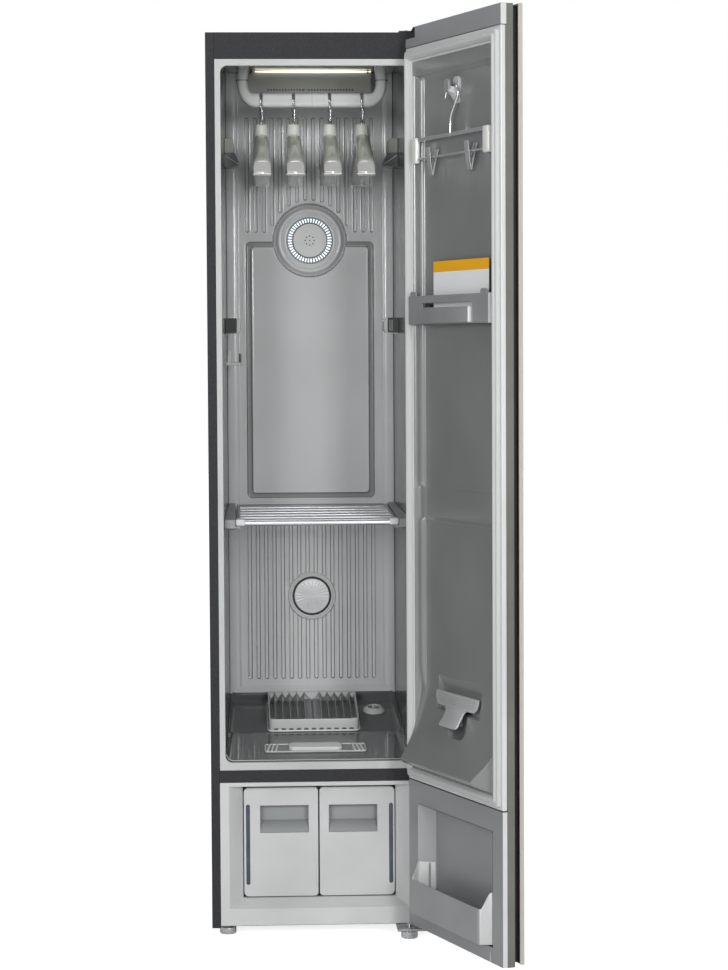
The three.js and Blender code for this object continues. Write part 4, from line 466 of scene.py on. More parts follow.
# Rounds the edges of a piece
def eased(piece, width, segments=2, angle=30):
    round_off = piece.modifiers.new("eased_edges", "BEVEL")
    round_off.width = width * MM
    round_off.segments = segments
    round_off.limit_method = "ANGLE"
    round_off.angle_limit = math.radians(angle)
    round_off.harden_normals = True
    return piece


# Joins the corners of a CAD mesh and takes out the edges inside its flat faces
def without_seams(work):
    bmesh.ops.remove_doubles(work, verts=work.verts, dist=0.002 * MM)
    bmesh.ops.dissolve_limit(work, angle_limit=math.radians(1), verts=work.verts, edges=work.edges)


# Copy of a CAD node with its edges rounded, standing for that node
def softened(node, finishes, body, width=0.6, segments=2, choose=None):
    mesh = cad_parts[node].data.copy()
    reworked(mesh, without_seams)
    piece = bpy.data.objects.new(node + "_moulded", mesh)
    bpy.context.scene.collection.objects.link(piece)
    dress(piece, finishes, body, node)
    mesh.polygons.foreach_set("material_index", [0] * len(mesh.polygons))
    if choose:
        for face in mesh.polygons:
            face.material_index = choose(face.center / MM, face.normal)
    return eased(piece, width, segments)


# Faces of a box whose corners are listed by x, then y, then z
BOX_FACES = ((0, 1, 3, 2), (4, 6, 7, 5), (0, 4, 5, 1), (2, 3, 7, 6), (0, 2, 6, 4), (1, 5, 7, 3))


# Box with eased edges between two corners
def block(name, low, high, place=IN_CASE, radius=1.0, segments=2):
    (x0, y0, z0), (x1, y1, z1) = low, high
    points = [(x, y, z) for x in (x0, x1) for y in (y0, y1) for z in (z0, z1)]
    return eased(mesh_piece(name, points, BOX_FACES, place), radius, segments)


# Plate from an outline, extruded along an axis: axis 0, 1 or 2 takes the outline as YZ, XZ or XY
def plate(name, drawing, start, end, axis, place=IN_CASE, radius=0.0, segments=2):
    def lift(a, b, level):
        return ((level, a, b), (a, level, b), (a, b, level))[axis]
    count = len(drawing)
    points = [lift(a, b, start) for a, b in drawing] + [lift(a, b, end) for a, b in drawing]
    faces = [tuple(range(count)), tuple(range(2 * count - 1, count - 1, -1))]
    faces += [(i, i + count, (i + 1) % count + count, (i + 1) % count) for i in range(count)]
    piece = outward(mesh_piece(name, points, faces, place))
    return eased(piece, radius, segments) if radius else piece


# Outline with round corners
def rounded(a0, a1, b0, b1, radius, steps=6):
    drawing = []
    for centre_a, centre_b, start in (
        (a1 - radius, b1 - radius, 0), (a0 + radius, b1 - radius, 90),
        (a0 + radius, b0 + radius, 180), (a1 - radius, b0 + radius, 270),
    ):
        for step in range(steps + 1):
            angle = math.radians(start + 90 * step / steps)
            drawing.append((centre_a + radius * math.cos(angle), centre_b + radius * math.sin(angle)))
    return drawing


# Skin through rings of equally many points
def loft(name, rings, place=IN_CASE, ends=True, numbers=None, closed=False):
    count = len(rings[0])
    points = [point for ring in rings for point in ring]
    faces, marks = [], []
    for ring in range(len(rings) - (0 if closed else 1)):
        after = (ring + 1) % len(rings)
        for i in range(count):
            j = (i + 1) % count
            faces.append((ring * count + i, ring * count + j, after * count + j, after * count + i))
            marks.append(numbers[ring] if numbers else 0)
    if ends and not closed:
        faces.append(tuple(range(count))[::-1])
        faces.append(tuple(range(len(points) - count, len(points))))
        marks += [numbers[0] if numbers else 0, numbers[-1] if numbers else 0]
    return outward(mesh_piece(name, points, faces, place, marks))


# Turned piece: a profile of radius and height, turned about an axis through a centre
def turned(name, profile, centre, axis, place=IN_CASE, sides=64, numbers=None):
    rings = []
    for radius, height in profile:
        ring = []
        for side in range(sides):
            angle = 2 * math.pi * side / sides
            a, b = radius * math.cos(angle), radius * math.sin(angle)
            offset = ((height, a, b), (a, height, b), (a, b, height))[axis]
            ring.append(tuple(c + o for c, o in zip(centre, offset)))
        rings.append(ring)
    return loft(name, rings, place, ends=True, numbers=numbers)


# Round wire along a path
def wire(name, path, radius, place=IN_CASE, sides=10, closed=False):
    path = [Vector(point) for point in path]
    count = len(path)
    rings = []
    side = None
    for i, point in enumerate(path):
        before = path[i - 1] if i or closed else path[0]
        after = path[(i + 1) % count] if i + 1 < count or closed else path[-1]
        ahead = (after - before).normalized()
        if side is None:
            side = ahead.orthogonal().normalized()
        side = (side - ahead * side.dot(ahead)).normalized()
        other = ahead.cross(side)
        rings.append([
            tuple(point + radius * (side * math.cos(a) + other * math.sin(a)))
            for a in (2 * math.pi * s / sides for s in range(sides))
        ])
    return loft(name, rings, place, ends=not closed, closed=closed)


# Smooth curve through points, as many points apart as asked
def curved(points, steps=8):
    points = [Vector(point) for point in points]
    line = []
    for i in range(len(points) - 1):
        p0, p1 = points[max(i - 1, 0)], points[i]
        p2, p3 = points[i + 1], points[min(i + 2, len(points) - 1)]
        for step in range(steps):
            t = step / steps
            line.append(0.5 * (
                2 * p1 + (p2 - p0) * t + (2 * p0 - 5 * p1 + 4 * p2 - p3) * t ** 2
                + (3 * p1 - p0 - 3 * p2 + p3) * t ** 3
            ))
    return line + [points[-1]]


# Sheet over two lists of lines, whose points a function of both gives
def sheet_piece(name, across, along, surface, place=IN_CASE):
    a, b = np.meshgrid(np.asarray(across, float), np.asarray(along, float))
    points = np.stack(surface(a, b), -1).reshape(-1, 3)
    wide, tall = len(across), len(along)
    corner = (np.arange(tall - 1)[:, None] * wide + np.arange(wide - 1)[None, :]).ravel()
    faces = np.stack([corner, corner + 1, corner + wide + 1, corner + wide], -1)
    return mesh_piece(name, points.tolist(), faces.tolist(), place)


# Smooth step from 0 to 1
def ease_in(share):
    share = np.clip(share, 0, 1)
    return share * share * (3 - 2 * share)


# Distance from a rounded rectangle, negative inside
def from_rounded(x, z, x0, x1, z0, z1, radius):
    dx = np.abs(x - (x0 + x1) / 2) - (x1 - x0) / 2 + radius
    dz = np.abs(z - (z0 + z1) / 2) - (z1 - z0) / 2 + radius
    return np.hypot(np.maximum(dx, 0), np.maximum(dz, 0)) + np.minimum(np.maximum(dx, dz), 0) - radius


# Lines at one pitch, closer together inside the zones
def lines_between(start, end, pitch, zones=()):
    lines = [start]
    while lines[-1] < end - 1e-6:
        step = min([p for low, high, p in zones if low - p <= lines[-1] < high] + [pitch])
        lines.append(min(lines[-1] + step, end))
    return lines


# Outer case: folded sheets with tight bends
for name in ("left_side_panel", "right_side_panel", "top_panel", "rear_panel"):
    softened(name, CHARCOAL, "cabinet", 0.5)
softened("mid_band", CHARCOAL, "cabinet", 0.8)
softened("base_pan", PAN, "cabinet", 0.4)
for corner in ("front_left", "front_right", "rear_left", "rear_right"):
    softened("foot_" + corner, CHROME, "foot_" + corner, 0.6)

# Screws of the rear panel, with round heads 4 mm in radius
for index, (x, z) in enumerate([(side * 212, z) for side, _ in SIDES for z in (40, 480, 920, 1360, 1795)]):
    head = turned(
        f"rear_screw_{index + 1}",
        [(0, 274.6), (1.0, 274.6), (1.6, 274.2), (3.2, 274.2), (4.0, 273.4), (4.0, 272.4), (0, 272.4)],
        (x, 0, z), 1, sides=20,
    )
    dress(head, ZINC, "cabinet")

# Front rim of the cavity and the frame of the lower compartment
softened("front_rim", RIM, "cabinet", 2.4, 4)
softened("lower_frame", FRAME_LOW, "cabinet", 1.6, 3)
low, high = (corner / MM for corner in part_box("front_rim"))
# Black line round the rim's outer edge: painted shade in the gap between the side panels' flanges and the rim
rim_gap_shade = wire("front_rim_seam", [
    (low.x, -271.9, low.z), (low.x, -271.9, high.z), (high.x, -271.9, high.z), (high.x, -271.9, low.z),
], 1.0, sides=8, closed=True)
dress(rim_gap_shade, BLACK, "cabinet")

# Cavity walls
softened("liner_left", WALL, "cabinet", 0.5)
softened("liner_right", WALL, "cabinet", 0.5)
softened("liner_ceiling", CEILING, "cabinet", 0.8)

FLUTES = [(i - 7.5) * 18.4 for i in range(16)]


# Distances from the outer and from the inner edge of the groove round the framed field
def field_edges(x, z):
    ring = np.hypot(x, z - RING_Z)
    seat = np.minimum(from_rounded(x, z, -141, 141, 859, 1427, 11), ring - 81)
    field = np.maximum(from_rounded(x, z, -131, 131, 869, 1417, 8), 80 - ring)
    return ring, seat, field


# Depth of one flute, with the raised line round it
def flute_depth(x, z, centre, bottom, top):
    away = np.hypot(x - centre, z - np.clip(z, bottom + 4.4, top - 4.4))
    return 2.5 * ease_in((4.4 - away) / 1.5) - 0.4 * np.exp(-((away - 5.2) / 0.9) ** 2)


# Back wall: flutes, a framed field with a groove that joins the ring's seat, side strips and round corners
def back_wall(x, z):
    _, seat, field = field_edges(x, z)
    y = 215 + 4.6 * ease_in(0.5 - seat / 3) - 3.8 * ease_in(0.5 - field / 3)
    y = y - 0.5 * np.exp(-((seat - 2.6) / 1.5) ** 2) - 0.5 * np.exp(-((field + 2.6) / 1.5) ** 2)
    for centre in FLUTES:
        near = max(RING_Z + 18.0, RING_Z + math.sqrt(max(89 ** 2 - centre ** 2, 0)))
        y = y + flute_depth(x, z, centre, near, 1701) + flute_depth(x, z, centre, 453, 815)
    y = y - 3.2 * ease_in((np.abs(x) - 158) / 4) - 0.5 * np.exp(-((np.abs(x) - 163.4) / 1.5) ** 2)
    side = np.clip(np.abs(x) - 163, 0, 20.5)
    return x, y - (21 - np.sqrt(441 - side ** 2)), z


flute_edges = [
    c + s * d for c in FLUTES for s in (-1, 1) for d in (2.8, 3.2, 3.6, 4.0, 4.4, 4.8, 5.2, 5.7, 6.3)
]
strip_edges = [s * d for s in (-1, 1) for d in (158.4, 159.2, 160, 160.8, 161.6, 162.4, 163.2, 164, 164.8)]
back = sheet_piece(
    "liner_back_moulded",
    sorted(set(lines_between(-183.6, 183.6, 1.9)) | set(flute_edges) | set(strip_edges)),
    lines_between(436, 1798.4, 4.5, [
        (436, 461, 0.9), (806, 817, 0.9), (817, 884, 1.5), (1340, 1530, 1.5), (1692, 1703, 0.8),
    ]),
    back_wall,
)
dress(back, [BACK, PAINTED_GROOVE_SHADE], "cabinet", "liner_back", 60)


# Faces of the back wall that take the darker finish as painted shade: the sides of its flutes and the bed of
# the groove
def in_groove(face):
    x, z = face.center.x / MM, face.center.z / MM
    ring, seat, field = field_edges(x, z)
    steep = abs(face.normal.x) > 0.5 or abs(face.normal.z) > 0.5
    return abs(x) < 150 and (steep or (seat < -1.5 and field > 1.5 and ring > 76))


second_finish(back, in_groove)


# Seat of the ring light: a rolled bead round a flat land
ring_seat = turned("ring_seat", [
    (51.3, 214), (51.4, 210.6), (52.4, 209.8), (54, 209.5), (56, 210.2), (58.9, 211.6), (60.8, 212.2),
    (62, 211.4), (63.1, 209.8), (65, 208.7), (66.9, 208.4), (69, 208.9), (70.9, 210.4), (72.2, 212.8),
    (73.7, 215.2), (75.6, 217.6), (78.2, 219.8),
], (0, 0, RING_Z), 1, sides=112)
dress(ring_seat, BACK, "cabinet", crease=50)

# Ring light: opal land with lit ticks and a lit outline
ring_base = turned("light_ring_diffuser", [
    (37.5, 213.6), (37.5, 209.7), (38, 209.4), (49.8, 209.4), (50.2, 208.9), (51, 208.9), (51.2, 209.4),
    (51.2, 213.6),
], (0, 0, RING_Z), 1, sides=96, numbers=[0, 0, 0, 1, 1, 1, 0])
dress(ring_base, [RING_BASE, RING_EDGE], "cabinet", "light_ring")
tick_points, tick_faces = [], []
for tick in range(46):
    turn = 2 * math.pi * tick / 46
    ahead, side = Vector((math.cos(turn), 0, math.sin(turn))), Vector((-math.sin(turn), 0, math.cos(turn)))
    start = len(tick_points)
    for radius, half in ((39.8, 1.15), (48.4, 1.65)):
        for sign in (-1, 1):
            for level in (209.6, 208.7):
                tick_points.append(ahead * radius + side * half * sign + Vector((0, level, RING_Z)))
    tick_faces += [tuple(start + i for i in face) for face in (
        (1, 3, 7, 5), (0, 1, 5, 4), (2, 6, 7, 3), (0, 2, 3, 1), (4, 5, 7, 6),
    )]
ticks = outward(mesh_piece("ring_ticks", tick_points, tick_faces))
dress(ticks, RING_LIGHT, "cabinet")
softened("ring_cap", LIGHT, "cabinet", 0.5)
cap_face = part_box("ring_cap")[0].y / MM
cap_back = turned("ring_cap_shadow", [
    (0, cap_face + 2.4), (29, cap_face + 2.4), (29, cap_face + 3.4), (0, cap_face + 3.4),
], (0, 0, RING_Z), 1, sides=48)
dress(cap_back, BLACK, "cabinet")


# Surface of the lower disc: a shallow dome with 26 fine rays and a raised middle
def rays(turn, radius):
    wave = 0.5 + 0.5 * np.cos(turn * 26)
    dome = 207.2 + 3.2 * (radius / 38.4) ** 2
    y = dome + 0.7 * wave * ease_in(radius / 12) * ease_in((38 - radius) / 5) + 0.9 * ease_in(1 - radius / 5)
    return radius * np.cos(turn), y, DISC_Z + radius * np.sin(turn)


# Lower disc: the lacquered dome inside a black ring and a light collar; the black ring and the collar's black
# inner wall are painted shade in the gap round the dome
disc = sheet_piece("lower_disc_dome", np.linspace(0, 2 * math.pi, 225), np.linspace(0.2, 38.4, 21), rays)
dress(disc, DISC, "cabinet", "lower_disc", 60)
collar = turned("lower_disc_collar", [
    (36, 213), (43.2, 213), (43.4, 210.2), (44.2, 209.2), (46, 208.9), (47.4, 209.6), (48.2, 211),
    (49, 210.4), (50.6, 210), (52.2, 211), (53, 213), (53.4, 215.4),
], (0, 0, DISC_Z), 1, sides=96, numbers=[1, 1, 0, 0, 0, 1, 0, 0, 0, 0, 0])
dress(collar, [LIGHT, BLACK], "cabinet")
# Black ring between dome and collar: painted shade in the gap
gap = turned("lower_disc_gap_shade", [
    (36, 211.1), (44, 211.1), (44, 212.4), (36, 212.4),
], (0, 0, DISC_Z), 1, sides=96)
dress(gap, BLACK, "cabinet")


# Floor: a shallow front slope, a steeper rear slope, a fillet up to the back and round sides
def floor_line(index):
    fillet = 45
    centre_y = 170.6
    centre_z = FOLD_Z + centre_y * math.tan(REAR_TILT) + fillet / math.cos(REAR_TILT)
    line = [(y, FOLD_Z + y * FRONT_RISE / FRONT_RUN) for y in np.linspace(-FRONT_RUN, -6, 14)]
    line += [(-2, 363.7), (2, 364.4), (6, 365.2)]
    line += [(y, FOLD_Z + y * math.tan(REAR_TILT)) for y in np.linspace(20, 171, 9)]
    line += [
        (centre_y + fillet * math.cos(a), centre_z + fillet * math.sin(a))
        for a in np.linspace(REAR_TILT - math.pi / 2, 0, 14)
    ]
    ys, zs = np.array(line).T
    ny, nz = -np.gradient(zs), np.gradient(ys)
    size = np.hypot(ny, nz)
    spot = np.round(index).astype(int)
    return ys[spot], zs[spot], (ny / size)[spot], (nz / size)[spot], len(line)


# Half of the cavity's width, which tapers to the back
def wall_half(y):
    return 192.2 - (y + 258.5) * 8.2 / 479.5


# The floor's line swept across, with a round of 16 mm up to each wall
def cavity_floor(share, index):
    y, z, ny, nz, _ = floor_line(index)
    half = wall_half(y) - 0.4
    x = share * half
    side = np.clip(np.abs(x) - (half - 16), 0, 15.8)
    lift = 16 - np.sqrt(16 ** 2 - side ** 2)
    return x, y + ny * lift, z + nz * lift


floor_stations = floor_line(np.zeros(1))[4]
floor_across = np.concatenate([
    np.linspace(-1, -0.905, 12), np.linspace(-0.88, 0.88, 25), np.linspace(0.905, 1, 12),
])
cavity_base = sheet_piece("liner_floor_moulded", floor_across, np.arange(floor_stations), cavity_floor)
# The floor is dark as painted shade up to 424 mm, and the fillet above takes the back wall's lighter finish,
# where the light changes
dress(cavity_base, [SHADED_FLOOR, BACK], "cabinet", "liner_floor", 60)
second_finish(cavity_base, lambda face: face.center.z > 424 * MM)

edge_x, _, edge_z = cavity_floor(np.linspace(-1, 1, 81), np.zeros(81))
floor_lip = wire("liner_floor_lip", [(a, -256.2, c - 1.4) for a, c in zip(edge_x, edge_z)], 1.5, sides=8)
dress(floor_lip, RIM, "cabinet", crease=80)

# Ceiling lamp: an opal strip with a crowned face in a narrow holder
lamp_rings = []
for share in np.linspace(-1, 1, 41):
    half = 0.7 + 1.7 * (1 - abs(share) ** 2.4)
    lamp_rings.append([
        (8 + 127 * share, y, 1795.4 + half * z) for y, z in (
            (150.2, 1), (146, 1), (144, 0.7), (143.2, 0), (144, -0.7), (146, -1), (150.2, -1),
        )
    ])
lamp = loft("ceiling_lamp_strip", lamp_rings)
dress(lamp, LAMP_LIGHT, "cabinet", "ceiling_lamp")
for side, name in SIDES:
    x = side * 127.6
    holder = block(f"lamp_holder_{name}", (x - 1.6, 143.4, 1791.4), (x + 1.6, 150.4, 1798.6), radius=0.6)
    dress(holder, DARK_GREY, "cabinet")

# Row of vent slots low on the vent housing, drawn as thin black boxes: painted shade inside the slots
slot_points = [
    (-92 + slot * 6.35 + wide, y, z)
    for slot in range(30) for wide in (0, 3.6) for y in (150.2, 151.2) for z in (1754.5, 1757.6)
]
slot_faces = [tuple(8 * slot + i for i in face) for slot in range(30) for face in BOX_FACES]
dress(mesh_piece("vent_slots", slot_points, slot_faces), BLACK, "cabinet")


# Takes solids away from a piece and keeps the plain result
def carved(piece, tools):
    for tool in tools:
        step = piece.modifiers.new("carve", "BOOLEAN")
        step.operation = "DIFFERENCE"
        step.object = tool
    bpy.context.view_layer.update()
    cut_mesh = bpy.data.meshes.new_from_object(piece.evaluated_get(bpy.context.evaluated_depsgraph_get()))
    piece.modifiers.clear()
    piece.data = cut_mesh
    for tool in tools:
        bpy.data.objects.remove(tool)
    return piece


# Bar with a soft section between an outer and an inner line
def soft_bar(name, stations, middle_y, depth, radius):
    rings = []
    for (ox, oz), (ix, iz) in stations:
        length = math.hypot(ix - ox, iz - oz)
        ux, uz = (ix - ox) / length, (iz - oz) / length
        rings.append([
            (ox + ux * (a + length / 2), middle_y + b, oz + uz * (a + length / 2))
            for a, b in rounded(-length / 2, length / 2, -depth / 2, depth / 2, radius, 5)
        ])
    return loft(name, rings)


# Half of the duct bar, from its joint down to the middle: outer and inner line
def bar_half(side):
    half = [((side * 158.5, z), (side * 136, z)) for z in (1757.2, 1755)]
    for step in range(17):
        turn = math.radians(180 + 90 * step / 16)
        half.append((
            (side * (120.5 - 38 * math.cos(turn)), 1753 + 52 * math.sin(turn)),
            (side * (124 - 12 * math.cos(turn)), 1753 + 22 * math.sin(turn)),
        ))
    return half


# Duct bar: a light pipe with a soft section, legs above a black ring that stands for the shade in the joint's
# groove, and notches for the four hooks
BAR_DEPTH, BAR_ROUND = 34, 8
SADDLE_Z = 1705
HANGERS = (-107.8, -39.2, 37.2, 105.8)
saddle = [(-46, 1737), (-46, 1707)]
saddle += [
    (BAR_Y + 18 * math.cos(a), SADDLE_Z + 18 * math.sin(a))
    for a in np.linspace(math.pi * 0.96, math.pi * 0.04, 15)
]
saddle += [(-4, 1707), (-4, 1737)]
bar = soft_bar("duct_bar_lower", bar_half(-1) + bar_half(1)[::-1], BAR_Y, BAR_DEPTH, BAR_ROUND)
carved(bar, [plate(f"notch_{i}", saddle, x - 3.6, x + 3.6, 0) for i, x in enumerate(HANGERS)])
dress(bar, BAR, "cabinet", "duct_bar", 40)
for side, name in SIDES:
    leg = soft_bar(f"duct_bar_leg_{name}", [
        ((side * (158.5 - lean), z), (side * (136 - lean), z))
        for z, lean in ((1758.7, 0), (1766, 0.5), (1780, 1.9), (1798.4, 3.5))
    ], BAR_Y, BAR_DEPTH, BAR_ROUND)
    dress(leg, BAR, "cabinet")
    # Black ring at each joint: painted shade in the groove between leg and bar
    joint_shade = soft_bar(f"duct_bar_joint_shade_{name}", [
        ((side * 157.6, z), (side * 136.9, z)) for z in (1754, 1762)
    ], BAR_Y, BAR_DEPTH - 1.6, BAR_ROUND - 0.8)
    dress(joint_shade, BLACK, "cabinet")
    for edge in (134.6, 158.2):
        x0, x1 = mirrored(side, edge, edge + 2.4)
        pin = turned(f"duct_bar_pin_{name}_{round(edge)}", [
            (0, x0), (1.5, x0), (1.7, x0 + 0.3), (1.7, x1 - 0.3), (1.5, x1), (0, x1),
        ], (0, -30, 1757.9), 0, sides=14)
        dress(pin, BLACK, "cabinet")
seam_ring = block("duct_bar_seam", (-0.35, -42.3, 1702), (0.35, -41.6, 1730), radius=0.1)
dress(seam_ring, GREY, "cabinet")

# Small nozzle above the bar
nozzle = wire("bar_nozzle", curved([
    (-6, -33, 1729), (-8, -36, 1734), (-13, -39, 1737), (-17, -40, 1737),
], 6), 2.6)
dress(nozzle, GREY, "cabinet")


# Ring of an arm: an oval with flattened sides
def oval(x, y, top, bottom, width, sides=28):
    ring = []
    for side in range(sides):
        turn = 2 * math.pi * side / sides
        c, s = math.cos(turn), math.sin(turn)
        ring.append((
            x + width / 2 * math.copysign(abs(c) ** 0.75, c), y,
            (top + bottom) / 2 + (top - bottom) / 2 * math.copysign(abs(s) ** 0.75, s),
        ))
    return ring


# Steam hanger: green grey arms under a light cap, a flared hood at each end, clear tips and a twisted hook
def hanger(index, x):
    body = f"hanger_{index}"
    # Reach from the middle, top, bottom and width of an arm
    knots = np.array([
        [0, 1646, 1616, 28], [25, 1643, 1609, 30], [49, 1637, 1600, 31.6], [85, 1625, 1582, 33.4],
        [117, 1612, 1565, 34.8], [140, 1602, 1553, 36], [155, 1596, 1549, 36.8], [168, 1590.6, 1547.8, 37.5],
        [178, 1585.6, 1547.6, 38], [184, 1581.6, 1547.6, 38], [188.6, 1576.4, 1547.6, 37.8],
        [191.6, 1569, 1547.6, 37.4], [193.2, 1560, 1547.6, 36.6], [194.6, 1553, 1547.8, 34.8],
    ])
    reaches = np.concatenate([np.linspace(0, 176, 45), np.linspace(178, 194.6, 15)])
    top, bottom, width = (np.interp(reaches, knots[:, 0], knots[:, i]) for i in (1, 2, 3))
    kernel = np.array([0.25, 0.5, 0.25])
    for _ in range(2):
        top[1:-1] = np.convolve(top, kernel, "same")[1:-1]
        bottom[1:-1] = np.convolve(bottom, kernel, "same")[1:-1]
    arm = list(zip(reaches, top, bottom, width))
    stations = [(-r, t, b, w) for r, t, b, w in arm[::-1]]
    stations += [(r, t, b, w - 6.5 * r / knots[-1, 0]) for r, t, b, w in arm[1:]]
    arms = loft(f"{body}_arms", [oval(x, BAR_Y + r, t, b, w) for r, t, b, w in stations])
    dress(arms, HANGER_BODY, body, body, 60)
    lip = wire(f"{body}_lip", [
        (x + a, BAR_Y - 176 + b, 1548.4) for a, b in rounded(-19.2, 19.2, -19.2, 19.2, 7, 5)
    ], 1.2, sides=8, closed=True)
    dress(lip, SHELL_WHITE, body, crease=80)
    cap = turned(f"{body}_cap", [
        (0, 1626), (16.4, 1626), (16.6, 1632), (15.6, 1646), (14.4, 1658), (13.9, 1663), (12.6, 1664.8),
        (9.6, 1665), (8.2, 1664.4), (7.6, 1661), (0, 1661),
    ], (x, BAR_Y, 0), 2, sides=40, numbers=[0, 0, 0, 0, 0, 0, 0, 0, 1, 1, 1])
    dress(cap, [HANGER_BODY, DARK_GREY], body, crease=50)
    tip_face = plate(f"{body}_tip", [
        (x - 14.5, 1549), (x + 14.5, 1549), (x + 14, 1522.4), (x + 12.6, 1521), (x - 12.6, 1521),
        (x - 14, 1522.4),
    ], -218.4, -217.2, 1, radius=0.3)
    dress(tip_face, CLEAR, body)
    for side in (-1, 1):
        fin = plate(f"{body}_tip_fin_{'a' if side < 0 else 'b'}", [
            (x + side * 15.4, 1549), (x + side * 16.4, 1549), (x + side * 18.6, 1523),
            (x + side * 17.4, 1521.6),
        ], -219, -192, 1, radius=0.2)
        dress(fin, CLEAR, body)
    line = [(BAR_Y, 1664), (BAR_Y, 1672), (-35.2, 1684), (-45.3, 1696)]
    line += [(BAR_Y + 20.3 * math.cos(a), SADDLE_Z + 20.3 * math.sin(a)) for a in np.linspace(math.pi, 0, 7)]
    line += [(-4.7, 1696)]
    path = curved([(x, y, z) for y, z in line], 14)
    for strand in range(2):
        twisted, run = [], 0.0
        for i, point in enumerate(path):
            if i:
                run += (point - path[i - 1]).length
            ahead = (path[min(i + 1, len(path) - 1)] - path[max(i - 1, 0)]).normalized()
            turn = 2 * math.pi * (run / 17 + strand / 2)
            side = Vector((1, 0, 0))
            spread = 2.3 - 1.0 * float(ease_in((point.z - 1694) / 12))
            twisted.append(point + spread * (side * math.cos(turn) + ahead.cross(side) * math.sin(turn)))
        hook = wire(f"{body}_hook_{strand + 1}", twisted, 1.45, sides=8)
        dress(hook, CHROME, body, crease=80)


for index, x in enumerate(HANGERS):
    hanger(index + 1, x)

# Frames on the cavity's walls: the right one is the left one's mirror image
ON_WALL = {
    "left": turned_frame(IN_CASE, (-wall_half(80), 80, 0), math.radians(-0.98), "Z"),
    "right": turned_frame(IN_CASE, (wall_half(80), 80, 0), math.radians(0.98), "Z")
    @ Matrix.Scale(-1, 4, (1, 0, 0)),
}

# Plates of the brackets: name, finish, the node that each stands for, outline, its two ends and its rounding
BRACKET_PLATES = (
    ("upper_bracket_{}_block", SAGE, "upper_bracket_{}", (
        (0.3, 1611), (0.3, 1643), (15, 1643), (18.6, 1640), (21.4, 1611),
    ), -35, 35, 1.6, 3),
    ("upper_bracket_{}_scoop", SCOOP, "", (
        (0.3, 1611.6), (21, 1611.6), (27.6, 1600), (30.4, 1592), (28, 1585), (14, 1581), (0.3, 1581),
    ), -29, 33, 0.8, 2),
    ("upper_bracket_{}_lip", SCOOP, "", (
        (0.3, 1606), (4, 1605), (29.6, 1588.4), (30.6, 1586), (28, 1583.4), (14, 1581), (0.3, 1581),
    ), -34.6, -27, 0.8, 2),
    ("middle_bracket_{}_lug", WALL, "middle_bracket_{}", (
        (0.3, 1222), (0.3, 1256.6), (25, 1256.6), (25, 1224),
    ), -34, 35, 0.8, 2),
    # Nose in the back wall's lighter finish: painted highlight along its rounded front
    ("middle_bracket_{}_nose", BACK, "", (
        (23.6, 1224), (23.6, 1257), (27, 1256.6), (30.4, 1254), (31.8, 1250), (31.8, 1231), (30.4, 1227),
        (27.6, 1224.4),
    ), -35, 35, 2.6, 4),
)
for side, wall in ON_WALL.items():
    for name, finish, node, drawing, start, end, radius, segments in BRACKET_PLATES:
        part = plate(name.format(side), drawing, start, end, 1, wall, radius, segments)
        dress(part, finish, "cabinet", node.format(side))
    # Beads in the light finish along the scoop's edge and the lug's lower edge: painted highlights on these
    # edges
    for name, line in (
        ("upper_bracket_{}_ridge", [(3, -34.4, 1605.2), (30, -34.4, 1587.6)]),
        ("middle_bracket_{}_edge", [(1, -34, 1222.4), (24, -34, 1224.2), (29.6, -33.4, 1228)]),
    ):
        dress(wire(name.format(side), line, 0.9, wall, 8), LIGHT, "cabinet")
for index, x in enumerate((14.5, 19)):
    line = [(x, -34.2, 1228), (x, -34.2, 1252)]
    ridge = wire(f"middle_bracket_ridge_{index + 1}", line, 0.8, ON_WALL["right"], 8)
    dress(ridge, LIGHT, "cabinet")

# Ledge on the left wall, with its pin and a lip
for name, finish, node, low, high, radius, segments in (
    ("left_ledge_shelf", LIGHT, "left_ledge", (0.3, -45, 1155.4), (33, 45, 1162), 1.6, 3),
    ("left_ledge_pin", LIGHT, "", (3.6, -44, 1160), (13.2, -34, 1180), 2.4, 4),
    ("left_ledge_pin_head", BACK, "", (4.6, -43, 1178), (12.2, -35, 1187.6), 1.8, 3),
    ("left_ledge_lip", WALL, "", (28.4, -44.6, 1160), (32.8, 44, 1180.6), 1.2, 3),
):
    dress(block(name, low, high, ON_WALL["left"], radius, segments), finish, "cabinet", node)

# Wire shelf: a drawn front tube between moulded caps, thin rods and dark arms
tube = loft("shelf_front_tube", [
    [(x, 5.5 + a, 5.25 + b) for a, b in rounded(-5.5, 5.5, -5.25, 5.25, 4.4, 6)] for x in (-149, 149)
], ON_SHELF)
dress(tube, ALUMINIUM, "shelf", "wire_shelf")
rear_rail = loft("shelf_rear_rail", [
    [(x, 424.5 + a, 5.25 + b) for a, b in rounded(-5.5, 5.5, -5.25, 5.25, 4, 4)] for x in (-166, 166)
], ON_SHELF)
dress(rear_rail, GREY, "shelf")
for side, name in SIDES:
    x0, x1 = mirrored(side, 158, 166)
    arm = block(f"shelf_arm_{name}", (x0, 30, 0), (x1, 422, 10.5), ON_SHELF, 2)
    dress(arm, GREY, "shelf")
    x0, x1 = mirrored(side, 148, 167.6)
    shelf_cap = block(f"shelf_cap_{name}", (x0, -1.6, 0), (x1, 34, 14), ON_SHELF, 3.4, 4)
    dress(shelf_cap, LIGHT, "shelf")
for rod in range(6):
    y = 66.5 + rod * 65
    line = wire(f"shelf_rod_{rod + 1}", [(-160, y, 5.25), (160, y, 5.25)], 3, ON_SHELF, 16)
    dress(line, ALUMINIUM, "shelf", crease=60)
softened("shelf_runner_left", GREY, "cabinet", 1.2)
softened("shelf_runner_right", GREY, "cabinet", 1.2)

